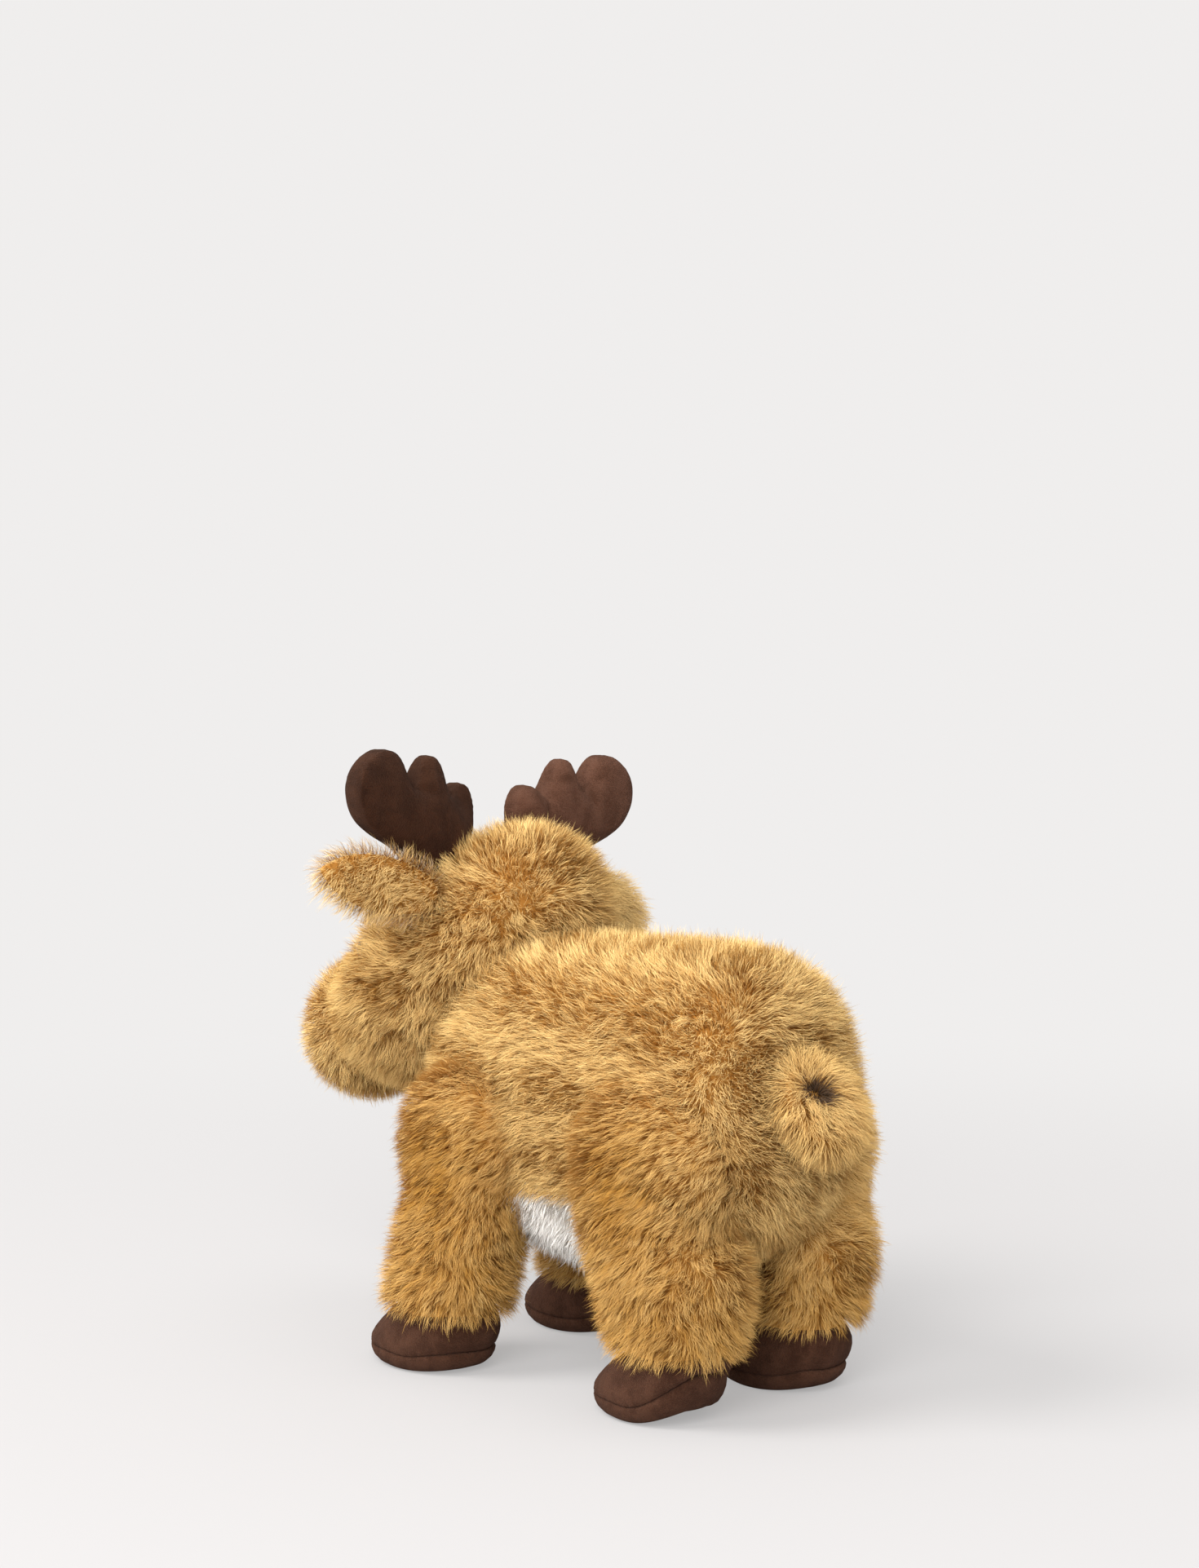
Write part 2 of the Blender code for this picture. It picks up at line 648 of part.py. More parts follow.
# Ears, tail and antlers
def build_ear(shop, head, name, side, rise, head_room):
    """A fur back and a pale front on one rounded root. Returns the socket that the root sits in."""
    root = on_head(EAR_ROOT_SHARES, side)
    ahead = (side * math.cos(rise), -math.tan(EAR_SWEEP), math.sin(rise))
    place = frame_at(root, ahead, (0, 0, side))
    blade = rings(flap(EAR_SHARES, EAR_LENGTH, EAR_HALF_WIDTH, EAR_HALF_THICKNESS), FLAP_SEGMENTS)
    split = EAR_HALF_THICKNESS - EAR_LINING_DEPTH
    return build_flap(
        shop, head, f"{name}_ear", place, blade, split, (EAR_HALF_THICKNESS, EAR_ROOT_HALF_LENGTH),
        (shop.fur, shop.white_fur), head_room,
    )


def tail_root():
    return place_on(
        (BODY_FRONT, BODY_REAR), (BODY_AXIS_HEIGHT, BODY_AXIS_HEIGHT), BODY_HALF_WIDTH, BODY_RISE, TAIL_ROOT_SHARES,
    )


def build_tail(shop, tail, rump_room):
    root = tail_root()
    ahead = (0, math.cos(TAIL_DROOP), -math.sin(TAIL_DROOP))
    place = frame_at(root, ahead, (-1, 0, 0))
    blade = rings(flap(TAIL_SHARES, TAIL_LENGTH, TAIL_HALF_WIDTH, TAIL_HALF_THICKNESS), FLAP_SEGMENTS)
    split = TAIL_HALF_THICKNESS - TAIL_LINING_DEPTH
    return build_flap(
        shop, tail, "tail", place, blade, split, (TAIL_HALF_THICKNESS, TAIL_ROOT_HALF_LENGTH),
        (shop.fur, shop.velour), rump_room,
    )


def build_flap(shop, on, name, place, blade, split, root_size, fabrics, room):
    """A blade in two layers, parted at the split height, on one root that belongs to the first layer."""
    reach = CUT_REACH / 2
    radius, half_length = root_size
    over_split = block((-reach, -reach, split), (reach, reach, reach))
    under_split = block((-reach, -reach, -reach), (reach, reach, split + SEAM_GAP))
    lining_side = shop.add(f"{name}_lining_side", over_split, on=on, place=place)
    cover_side = shop.add(f"{name}_cover_side", under_split, on=on, place=place)
    root = shop.add(f"{name}_root", root_form(radius, half_length), on=on, place=place)
    socket = shop.add(f"{name}_socket", root_form(radius, half_length, SEAM_GAP), on=on, place=place)
    # The exact solver loses layers as thin as these
    cover = shop.add(f"{name}_cover", blade, fabrics[0], on=on, place=place, rounded=True)
    subtract(cover, room, lining_side, solver="MANIFOLD")
    join(cover, root, solver="MANIFOLD")
    lining = shop.add(f"{name}_lining", blade, fabrics[1], on=on, place=place, rounded=True)
    subtract(lining, cover_side, room, socket, solver="MANIFOLD")
    return socket


def build_antler(shop, head, name, side):
    """A velour antler of puffed lobes round one stuffing. Returns the socket that its root sits in."""
    root = on_head(ANTLER_ROOT_SHARES, side)
    place = frame_at(root, (0, 0, 1), (side, 0, 0))

    def padded(label, inset, segments, material=None):
        palm, *tines = [
            shop.add(
                label if lobe_name == "palm" else f"{label}_{lobe_name}",
                rings(lobe(shares, inset), segments, rounded=False),
                material if lobe_name == "palm" else None, on=head, place=place,
            )
            for lobe_name, shares in ANTLER_LOBE_SHARES.items()
        ]
        clear = rings(head_stations(-FLEX_ROOM - inset), HEAD_SEGMENTS)
        subtract(join(palm, *tines), shop.add(f"{label}_clear", clear, on=head, rounded=True))
        ball = root_form(ANTLER_ROOT_RADIUS - inset, ANTLER_ROOT_HALF_LENGTH - inset)
        return join(palm, shop.add(f"{label}_root", ball, on=head, place=place))

    hollow = padded(f"{name}_antler_hollow", VELOUR, LOBE_INNER_SEGMENTS)
    mouth = rod(ANTLER_OPENING_RADIUS, -ANTLER_ROOT_RADIUS * 2, 0)
    opening = shop.add(f"{name}_antler_opening", mouth, on=head, place=Matrix.Translation(root))
    subtract(padded(f"{name}_antler_cover", 0.0, LOBE_SEGMENTS, shop.velour), opening, hollow)
    padded(f"{name}_antler_stuffing", VELOUR + LAP_GAP, LOBE_INNER_SEGMENTS, shop.stuffing)
    seat = root_form(ANTLER_ROOT_RADIUS, ANTLER_ROOT_HALF_LENGTH, SEAM_GAP)
    return shop.add(f"{name}_antler_socket", seat, on=head, place=place)


# Legs
def leg_stations(leg, side, inset=0.0, swing=0.0):
    """Level rings from inside the haunch down past the ankle, lengthened by what a swing sweeps."""
    hip = leg["hip"]
    ankle_height = leg["ankle_height"]
    depth = hip[2] - ankle_height
    haunch_half_size = (leg["haunch_half_width"], leg["haunch_radius"])
    lowered, lowest = (ankle_height - depth * share for share in SHAFT_END_SHARES)
    marks = (
        (hip[2] + leg["haunch_radius"] * SHAFT_TOP_SHARE, hip[:2], haunch_half_size, 0.0),
        (hip[2], hip[:2], haunch_half_size, 0.90),
        ((hip[2] + leg["knee_height"]) / 2, hip[:2], leg["knee_half_size"], 1.0),
        (leg["knee_height"], leg["knee_place"], leg["knee_half_size"], 1.0),
        (ankle_height, leg["ankle_place"], leg["ankle_half_size"], 1.0),
        (lowered, leg["ankle_place"], leg["ankle_half_size"], 0.9),
        (lowest, leg["ankle_place"], leg["ankle_half_size"], 0.0),
    )
    stations = []
    for height, (out, back), (half_width, half_length), share in marks:
        sweep = max(hip[2] - height, 0) * math.sin(swing)
        along = share and half_length * share - inset + sweep
        stations.append((
            Vector((out * side, back, height)), Vector((share and half_width * share - inset, 0, 0)),
            Vector((0, along, 0)), Vector((0, along, 0)),
        ))
    return stations


def hoof_stations(leg, side, inset=0.0):
    out, back = leg["ankle_place"]
    stations = []
    for height_share, narrowing, ahead_share in HOOF_SHARES:
        closed = height_share in (HOOF_SHARES[0][0], HOOF_SHARES[-1][0])
        half_width = HOOF_HALF_WIDTH + narrowing * (HOOF_NECK_HALF_SIZE - HOOF_HALF_WIDTH) - inset
        half_length = HOOF_HALF_LENGTH + narrowing * (HOOF_NECK_HALF_SIZE - HOOF_HALF_LENGTH) - inset
        centre = Vector((out * side, back - HOOF_AHEAD * ahead_share, height_share * HOOF_TOP))
        along = Vector((0, 0 if closed else half_length, 0))
        stations.append((centre, Vector((0 if closed else half_width, 0, 0)), along, along))
    return stations


def build_leg(shop, name, leg, side):
    """One leg with its hoof. Returns the room for its haunch and swept shaft, cut out of the torso."""
    hip = Vector((leg["hip"][0] * side, *leg["hip"][1:]))
    on = shop.pivot(f"{name}_hip", hip)
    radius, half_width = leg["haunch_radius"], leg["haunch_half_width"]
    far = CUT_REACH / 2

    def stuffed(label, inset, material=None):
        made = shop.add(label, spheroid(radius - inset, half_width - inset, hip), material, on=on)
        form = rings(leg_stations(leg, side, inset), LEG_SEGMENTS)
        return join(made, shop.add(f"{label}_shaft", form, on=on, rounded=True))

    def zone(label, low, high):
        """Everything between two heights."""
        return shop.add(f"{name}_{label}", block((-far, -far, low), (far, far, high)), on=on)

    under_ankle = zone("under_ankle", -far, leg["ankle_height"])
    under_neck = zone("under_neck", -far, HOOF_TOP + SEAM_GAP)
    upper = zone("upper_zone", SOLE_SEAM, HOOF_TOP)
    foot = zone("foot_zone", 0, SOLE_SEAM - SEAM_GAP)
    packed = zone("packed_zone", SOLE_SEAM, HOOF_TOP + BACKING)

    cover = stuffed(f"{name}_leg_cover", 0.0, shop.fur)
    subtract(cover, under_ankle, stuffed(f"{name}_leg_hollow", PILE))

    def hoof_form(label, inset, material=None):
        form = rings(hoof_stations(leg, side, inset), HOOF_SEGMENTS, rounded=False)
        return shop.add(f"{name}_{label}", form, material, on=on)

    hoof = keep_inside(hoof_form("hoof_cover", 0.0, shop.velour), upper)
    subtract(hoof, hoof_form("hoof_hollow", VELOUR))
    keep_inside(hoof_form("hoof_sole", 0.0, shop.velour), foot)

    filling = stuffed(f"{name}_leg_stuffing", PILE + SEAM_GAP, shop.stuffing)
    subtract(filling, under_neck)
    join(filling, keep_inside(hoof_form("hoof_filling", VELOUR + LAP_GAP), packed))

    swept = rings(leg_stations(leg, side, -LEG_ROOM, LEG_SWING), LEG_SEGMENTS)
    haunch_room = shop.add(f"{name}_haunch_room", spheroid(radius, half_width, hip, gap=SEAM_GAP))
    return join(haunch_room, shop.add(f"{name}_shaft_room", swept, rounded=True))


def stand_on_origin(deer):
    """Moves the whole deer so that the middle of its bounding box is over the origin."""
    bpy.context.view_layer.update()
    graph = bpy.context.evaluated_depsgraph_get()
    corners = []
    for piece in bpy.data.collections["plush_deer"].objects:
        if piece.type == "MESH":
            solid = piece.evaluated_get(graph)
            mesh = solid.to_mesh()
            corners += [piece.matrix_world @ vertex.co for vertex in mesh.vertices]
            solid.to_mesh_clear()
    for axis in (0, 1):
        places = [corner[axis] for corner in corners]
        deer.location[axis] -= (min(places) + max(places)) / 2
    bpy.context.view_layer.update()
    print("height of the lowest point", round(min(corner.z for corner in corners), 5))


def build_deer():
    clear_scene()
    shop = Workshop()
    neck_axis, seam_middle, ball_centre = neck_geometry()
    head = shop.pivot("head", ball_centre, HEAD_YAW, HEAD_ROLL)
    tail = shop.pivot("tail_seam", tail_root())

    head_room = shop.add("head_room", rings(head_stations(-FLEX_ROOM), HEAD_SEGMENTS), on=head, rounded=True)
    rump_room = shop.add("rump_room", body_form(-FLEX_ROOM), rounded=True)
    sockets = [
        build_ear(shop, head, "left", 1, LEFT_EAR_RISE, head_room),
        build_ear(shop, head, "right", -1, RIGHT_EAR_RISE, head_room),
        build_antler(shop, head, "left", 1),
        build_antler(shop, head, "right", -1),
    ]
    build_head(shop, head, sockets)

    leg_cutters = []
    for end, leg in LEGS.items():
        for side_name, side in (("left", 1), ("right", -1)):
            leg_cutters.append(build_leg(shop, f"{side_name}_{end}", leg, side))
    build_torso(shop, leg_cutters, build_tail(shop, tail, rump_room))
    stand_on_origin(shop.deer)


build_deer()
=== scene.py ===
# %% [markdown]
# # A plush deer
# This deer is sewn from long-pile fur fabric and stuffed. Its antlers, hooves and nose are velour, and its
# eyes are polished plastic. The cells below dress a fixed frame: the frame says where every stuffed part is
# and how it moves, and this script makes what the eye meets. Everything is in metres, the deer looks
# along -Y, its left side is +X, and the floor is at height zero.

# %% Load the frame
import json
import math

import bpy
import numpy as np
from mathutils import Matrix, Vector, geometry
from mathutils.kdtree import KDTree


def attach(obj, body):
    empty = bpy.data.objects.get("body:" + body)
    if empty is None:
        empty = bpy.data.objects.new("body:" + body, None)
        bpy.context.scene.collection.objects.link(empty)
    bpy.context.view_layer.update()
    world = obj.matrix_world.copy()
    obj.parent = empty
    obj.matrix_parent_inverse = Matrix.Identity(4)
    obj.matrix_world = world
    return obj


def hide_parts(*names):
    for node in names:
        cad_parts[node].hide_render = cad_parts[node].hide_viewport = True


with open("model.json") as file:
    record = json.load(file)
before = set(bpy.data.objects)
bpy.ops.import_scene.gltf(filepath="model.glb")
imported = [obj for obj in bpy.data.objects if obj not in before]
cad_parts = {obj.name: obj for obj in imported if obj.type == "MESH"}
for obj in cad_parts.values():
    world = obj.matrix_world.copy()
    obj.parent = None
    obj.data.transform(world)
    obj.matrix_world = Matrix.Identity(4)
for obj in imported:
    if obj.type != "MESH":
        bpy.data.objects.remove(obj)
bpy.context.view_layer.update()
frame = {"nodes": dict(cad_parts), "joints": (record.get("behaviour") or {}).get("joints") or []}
joints = {joint["name"]: joint for joint in frame["joints"]}
MM = 0.001

# %% [markdown]
# The forms are drawn in the deer's own coordinates, measured from the middle of its four feet. The frame
# stands its bounding box over the origin instead, so the difference is read from the front hips. The head
# is drawn straight and then turned on the neck's ball, as the frame's head is.

# %% Places that the frame gives
FRONT_HIP = np.array([0.048, -0.050, 0.112])
SIDES = {"left": 1, "right": -1}


def joint_place(name):
    return np.array(joints[name]["pos_m"])


hips = {side: joint_place(f"{side}_front_leg_swing") for side in SIDES}
deer_place = (hips["left"] + hips["right"]) / 2 - FRONT_HIP * (0, 1, 1)
neck_ball = joint_place("head_turn") - deer_place
HEAD_YAW = math.radians(-3)
HEAD_ROLL = math.radians(-5)
head_turn = np.array(Matrix.Rotation(HEAD_YAW, 3, "Z") @ Matrix.Rotation(HEAD_ROLL, 3, "Y"))


def on_torso(points):
    """From the deer's coordinates to the frame's."""
    return points + deer_place


def on_head(points):
    """The same for the head: turned about the neck's ball first."""
    return (points - neck_ball) @ head_turn.T + neck_ball + deer_place


print("the deer's own origin lies at", np.round(deer_place / MM, 1), "mm")

# %% [markdown]
# A camera with a long lens stands behind the deer's left side and a little above it. Its place comes from
# the picture: the four hooves' places on the floor fix the angle and the distance. The long side of the
# image is the one that the sensor's width belongs to.

# %% Camera
IMAGE_SIZE = (1470, 1923)
FOCAL_LENGTH_IN_PIXELS = 4500
SENSOR = 36.0
CAMERA_AZIMUTH = math.radians(134.7)
CAMERA_PITCH = math.radians(6.07)
CAMERA_HEIGHT_ANGLE = math.radians(15.13)  # seen from the feet
CAMERA_DISTANCE = 1.785
CAMERA_SLIDE = 0.008  # to its own left


def backwards(azimuth, elevation):
    """The unit vector from the deer towards a camera at that azimuth and elevation."""
    level = Vector((math.sin(azimuth), -math.cos(azimuth), 0))
    return level * math.cos(elevation) + Vector((0, 0, math.sin(elevation)))


def add_object(name, data):
    made = bpy.data.objects.new(name, data)
    bpy.context.collection.objects.link(made)
    return made


def aim(thing, axis, direction):
    """Turn a thing so that its own axis points that way."""
    thing.rotation_mode = "QUATERNION"
    thing.rotation_quaternion = direction.to_track_quat(axis, "Y")


camera = add_object("camera", bpy.data.cameras.new("camera"))
camera.data.sensor_width = SENSOR
camera.data.lens = FOCAL_LENGTH_IN_PIXELS * SENSOR / max(IMAGE_SIZE)
view = -backwards(CAMERA_AZIMUTH, CAMERA_PITCH)
camera_right = view.cross(Vector((0, 0, 1))).normalized()
camera.location = Vector(deer_place) + backwards(CAMERA_AZIMUTH, CAMERA_HEIGHT_ANGLE) * CAMERA_DISTANCE
camera.location -= camera_right * CAMERA_SLIDE
aim(camera, "-Z", view)
bpy.context.scene.camera = camera
print("lens", round(camera.data.lens, 1), "mm, at", [round(c, 3) for c in camera.location])

# %% [markdown]
# Materials are written as arithmetic. A Value wraps one socket, and adding or multiplying values adds Math
# nodes behind the scenes. A Finish is one material: its Principled shader, a method that adds any other
# node, and short methods for the few that every cloth needs.

# %% A small language for shaders
class Value:
    """A node's socket, with the arithmetic that the finishes below use."""

    def __init__(self, finish, socket):
        self.finish = finish
        self.socket = socket

    def __add__(self, other):
        return self.finish.node("Math", {"operation": "ADD"}, {0: self, 1: other})

    def __mul__(self, other):
        return self.finish.node("Math", {"operation": "MULTIPLY"}, {0: self, 1: other})


def socket_name(word):
    return word.replace("_", " ").title().replace("Ior", "IOR")


class Finish:
    """A material, with a Principled shader that plain values and patterns are given to."""

    def __init__(self, name, **given):
        self.material = bpy.data.materials.new(name)
        self.material.use_nodes = True
        self.tree = self.material.node_tree
        self.shader = self.tree.nodes["Principled BSDF"]
        self.set(**given)

    def feed(self, sockets, key, value):
        """Link a pattern to a socket, or set a plain value there. A plain colour gets its alpha here."""
        if isinstance(value, Value):
            self.tree.links.new(value.socket, sockets[key])
        elif sockets[key].type == "RGBA":
            sockets[key].default_value = (*value, 1)
        else:
            sockets[key].default_value = value

    def node(self, kind, settings=None, inputs=None, output=0):
        """Any node: its settings first, then the values or links of its sockets."""
        made = self.tree.nodes.new("ShaderNode" + kind)
        for setting, value in (settings or {}).items():
            setattr(made, setting, value)
        for key, value in (inputs or {}).items():
            self.feed(made.inputs, key, value)
        return Value(self, made.outputs[output])

    def mix(self, first, second, factor):
        """A colour between two colours."""
        colours = {0: factor, 6: first, 7: second}
        return self.node("Mix", {"data_type": "RGBA", "clamp_factor": True}, colours, output=2)

    def place(self):
        """The place on the object, in metres."""
        return self.node("TexCoord", output=3)

    def noise(self, scale, detail=3.0, roughness=0.5):
        """Soft noise, with this many lumps a metre."""
        return self.node("TexNoise", {}, {
            "Vector": self.place(), "Scale": scale, "Detail": detail, "Roughness": roughness,
        })

    def rise(self, value, start, end, lowest=0.0, kind="SMOOTHSTEP"):
        """From the lowest to 1, while the value goes from the start to the end."""
        return self.node("MapRange", {"interpolation_type": kind}, {
            "Value": value, "From Min": start, "From Max": end, "To Min": lowest,
        })

    def set(self, **given):
        for socket, value in given.items():
            self.feed(self.shader.inputs, socket_name(socket), value)
        return self.material


def grained(name, dark, light, scale, detail=3.0, **given):
    """A plain material with a grain between two colours."""
    finish = Finish(name, **given)
    return finish.set(base_color=finish.mix(dark, light, finish.noise(scale, detail)))


# %% [markdown]
# The deer stands on a pale floor, in the light of large soft lamps. The floor answers the lamps near the
# deer, so that it keeps the shadow, and fades further out to the plain tone of the background, which the
# camera also sees above the horizon.

# %% Floor, background and lamps
BACKGROUND = (0.868, 0.854, 0.847)
WORLD_LIGHT = 0.70
FLOOR_SIZE = 30.0
FLOOR_COLOUR = (0.496, 0.482, 0.481)
FLOOR_GLOW = 0.42  # share of the plain tone that the floor keeps near the deer, which lightens its shadow
FLOOR_FADE = (0.35, 0.95)  # metres from the deer, from lit floor to plain tone
LAMP_AIM_HEIGHT = 0.13
LAMPS = {
    # azimuth and elevation in degrees, distance, size, watts, colour
    "key": (66, 46, 4.0, 2.0, 130, (1.0, 0.99, 0.975)),
    "fill": (124, 30, 4.0, 2.6, 138, (1.0, 1.0, 1.0)),
    "top": (170, 80, 4.0, 3.0, 28, (1.0, 1.0, 1.0)),
}

world = bpy.data.worlds.new("studio")
world.use_nodes = True
bpy.context.scene.world = world
nodes = world.node_tree.nodes
sky = nodes["Background"]
added = ("Background", "LightPath", "MixShader")
plain_sky, path, choice = (nodes.new("ShaderNode" + kind) for kind in added)
sky.inputs["Color"].default_value = (1, 1, 1, 1)
sky.inputs["Strength"].default_value = WORLD_LIGHT
plain_sky.inputs["Color"].default_value = (*BACKGROUND, 1)
for slot, made in enumerate((path, sky, plain_sky)):  # the light path's first output is for camera rays
    world.node_tree.links.new(made.outputs[0], choice.inputs[slot])
world.node_tree.links.new(choice.outputs[0], nodes["World Output"].inputs["Surface"])

for name, (azimuth, elevation, distance, size, watts, colour) in LAMPS.items():
    lamp = bpy.data.lights.new(name, "AREA")
    lamp.shape = "DISK"
    lamp.size = size
    lamp.energy = watts
    lamp.color = colour
    stand = add_object(name, lamp)
    towards = backwards(math.radians(azimuth), math.radians(elevation))
    stand.location = Vector(deer_place) + Vector((0, 0, LAMP_AIM_HEIGHT)) + towards * distance
    aim(stand, "Z", towards)

bpy.ops.mesh.primitive_plane_add(size=FLOOR_SIZE, location=tuple(deer_place))
floor = bpy.context.active_object
floor.name = "floor"
paper = Finish("pale_paper", roughness=0.9, specular_ior_level=0.1, base_color=FLOOR_COLOUR)
away = paper.node("VectorMath", {"operation": "LENGTH"}, {0: paper.place()}, output=1)
plain_share = paper.node("LightPath") * paper.rise(away, *FLOOR_FADE, lowest=FLOOR_GLOW)
lit = Value(paper, paper.shader.outputs[0])
plain = paper.node("Emission", {}, {"Color": BACKGROUND})
shown = paper.node("MixShader", {}, {0: plain_share, 1: lit, 2: plain})
paper.feed(paper.tree.nodes["Material Output"].inputs, "Surface", shown)
floor.data.materials.append(paper.material)
bpy.context.scene.view_settings.view_transform = "Standard"
print(len(LAMPS), "lamps and a floor of", FLOOR_SIZE, "m")

# %% [markdown]
# Each stuffed part is a row of rings: shares of its length, and of its half width, rise and drop there. The
# frame joins few rings with flat panels. Here a smooth curve runs through the same rings, so that the two
# agree, and the fabric's own backing lies a pile's depth under that form, with the fur standing on it.

# %% Sizes of the stuffed parts
PILE = 0.010
BODY = {
    "ends": (-0.110, 0.127), "heights": (0.134, 0.134), "half_size": (0.062, 0.077, 0.084), "fullness": 0.86,
    "shares": (
        (0.0, 0.0, 0.0, 0.0), (0.03, 0.48, 0.44, 0.40), (0.12, 0.78, 0.80, 0.70), (0.27, 0.92, 0.98, 0.90),
        (0.45, 0.98, 1.0, 1.0), (0.63, 1.0, 1.03, 1.0), (0.80, 1.02, 1.05, 0.88), (0.92, 0.94, 0.97, 0.68),
        (0.985, 0.62, 0.64, 0.40), (1.0, 0.0, 0.0, 0.0),
    ),
}
HEAD = {
    "ends": (-0.184, -0.022), "heights": (0.150, 0.220), "half_size": (0.058, 0.059, 0.056), "fullness": 1.0,
    "shares": (
        (0.0, 0.0, 0.0, 0.0), (0.03, 0.40, 0.34, 0.38), (0.13, 0.78, 0.70, 0.72), (0.28, 0.96, 0.88, 0.92),
        (0.46, 1.02, 0.98, 1.0), (0.65, 1.0, 1.04, 1.0), (0.84, 0.82, 0.84, 0.80), (0.96, 0.50, 0.46, 0.46),
        (1.0, 0.0, 0.0, 0.0),
    ),
}
MUZZLE = {
    "ends": (-0.211, -0.136), "heights": (0.143, 0.152), "half_size": (0.043, 0.040, 0.042), "fullness": 1.0,
    "shares": (
        (0.0, 0.0, 0.0, 0.0), (0.07, 0.58, 0.58, 0.58), (0.24, 0.90, 0.90, 0.90), (0.48, 1.0, 1.0, 1.0),
        (0.74, 0.92, 0.92, 0.92), (0.94, 0.56, 0.56, 0.56), (1.0, 0.0, 0.0, 0.0),
    ),
}
BELLY_ENDS = (-0.078, 0.072)
BELLY_LINE = 0.095
# Heights, then the places (out, back) and half sizes of a leg's level rings; the haunch is a round cushion
LEGS = {
    "front": {
        "hip": (0.0480, -0.050, 0.112), "haunch": (0.0310, 0.0420), "knee_height": 0.062,
        "knee_place": (0.0500, -0.056), "knee": (0.0315, 0.0360), "ankle_height": 0.028,
        "ankle_place": (0.0520, -0.063), "ankle": (0.0310, 0.0330),
    },
    "hind": {
        "hip": (0.0440, 0.070, 0.117), "haunch": (0.0340, 0.0490), "knee_height": 0.066,
        "knee_place": (0.0430, 0.078), "knee": (0.0345, 0.0430), "ankle_height": 0.032,
        "ankle_place": (0.0415, 0.079), "ankle": (0.0300, 0.0330),
    },
}
EAR = {
    "root": (0.0480, -0.078, 0.2210), "length": 0.060, "half_size": (0.0175, 0.0085), "sweep": 20,
    "rise": {"left": 12, "right": -16}, "inset": 0.0045,
    "shares": (
        (0.0, 0.0, 0.0), (0.03, 0.62, 0.80), (0.16, 0.84, 1.0), (0.36, 1.0, 1.0), (0.60, 1.0, 0.94),
        (0.82, 0.78, 0.80), (0.95, 0.42, 0.50), (1.0, 0.0, 0.0),
    ),
}
TAIL = {
    "root": (0.0, 0.1215, 0.162), "length": 0.044, "half_size": (0.022, 0.0100), "droop": 47,
    "inset": 0.005,
    "shares": (
        (0.0, 0.0, 0.0), (0.05, 0.72, 0.78), (0.24, 0.92, 0.94), (0.50, 1.0, 1.0), (0.74, 0.88, 0.92),
        (0.92, 0.54, 0.60), (1.0, 0.0, 0.0),
    ),
}
TAIL_LEAN = 0.42  # of its length, to the deer's left
NOSE_PLACE = np.array([0.0, -0.2060, 0.156])
NOSE_HALF_SIZE = np.array([0.014, 0.006, 0.010])
EYE_PLACE = np.array([0.0390, -0.1400, 0.1900])
EYE_OUT = math.radians(52)
EYE_UP = math.radians(16)
RING_STEPS = 6  # fine rings between two given ones
ROUND_STEPS = 64
THINNEST_SHARE = 0.5
HAUNCH_SHARES = (0.25, 0.90)  # of the cushion: how far the shaft rises above the hip, and its size there
ANKLE_END = 0.22  # how far the shaft runs on below the ankle, as a share of its drop
TINY = 1e-6  # added to a divisor that may be zero

# %% [markdown]
# A Catmull-Rom curve passes through every given ring. Past each end a ghost ring is added: the places are
# mirrored there and the sizes change sign, so that the curve arrives square to the axis and closes the end
# as a dome instead of a point.

# %% Surfaces
def catmull_rom(a, b, c, d, steps):
    """Rows from B on towards C, with neighbours A and D. The row at share t is half of
    2B + (C-A)t + (2A-5B+4C-D)t^2 + (3B-A-3C+D)t^3."""
    t = np.linspace(0, 1, steps, endpoint=False)[None, :, None]
    return 0.5 * (2 * b + (c - a) * t + (2 * a - 5 * b + 4 * c - d) * t ** 2
                  + (3 * b - a - 3 * c + d) * t ** 3)


def smooth_rows(rows, mirrored):
    """Fine rows through given rows. Mirrored columns are even past the ends, and the others odd."""
    rows = np.asarray(rows, float)
    sign = np.where(mirrored, 1.0, -1.0)
    ghosted = np.vstack([rows[1] * sign, rows, rows[-2] * sign])
    curve = catmull_rom(*(ghosted[k:k + len(rows) - 1, None] for k in range(4)), RING_STEPS)
    return np.vstack([curve.reshape(-1, rows.shape[1]), rows[-1]])


def full_turn(steps=ROUND_STEPS):
    return np.linspace(0, 2 * np.pi, steps, endpoint=False)


def points_of(*columns):
    return np.stack(np.broadcast_arrays(*columns), axis=-1)


def drawn_in(size, inset):
    """A ring's size less the inset, but never under a share of itself."""
    return np.maximum(size - inset, size * THINNEST_SHARE)


def lengthwise_rows(form):
    """Fine rings along Y, a pile's depth inside the form: place, height, half width, rise and drop."""
    front, rear = form["ends"]
    low, high = form["heights"]
    shares = np.array(form["shares"])
    place = front + PILE + shares[:, 0] * (rear - front - 2 * PILE)
    height = low + shares[:, 0] * (high - low)
    sizes = drawn_in(shares[:, 1:] * form["half_size"], PILE)
    return smooth_rows(np.column_stack([place, height, sizes]), [True, True, False, False, False])


def squared(turn, fullness):
    """Cosine and sine of the turn round a ring, raised to the fullness, which squares its shoulders."""
    level, upright = np.cos(turn), np.sin(turn)
    return np.sign(level) * abs(level) ** fullness, np.sign(upright) * abs(upright) ** fullness


def lengthwise_grid(form):
    """Points of the form's rings: half width times cosine across, rise or drop times sine upwards."""
    place, height, width, rise, drop = lengthwise_rows(form).T[:, :, None]
    level, upright = squared(full_turn(), form["fullness"])
    return points_of(width * level, place, height + np.where(upright > 0, rise, drop) * upright)


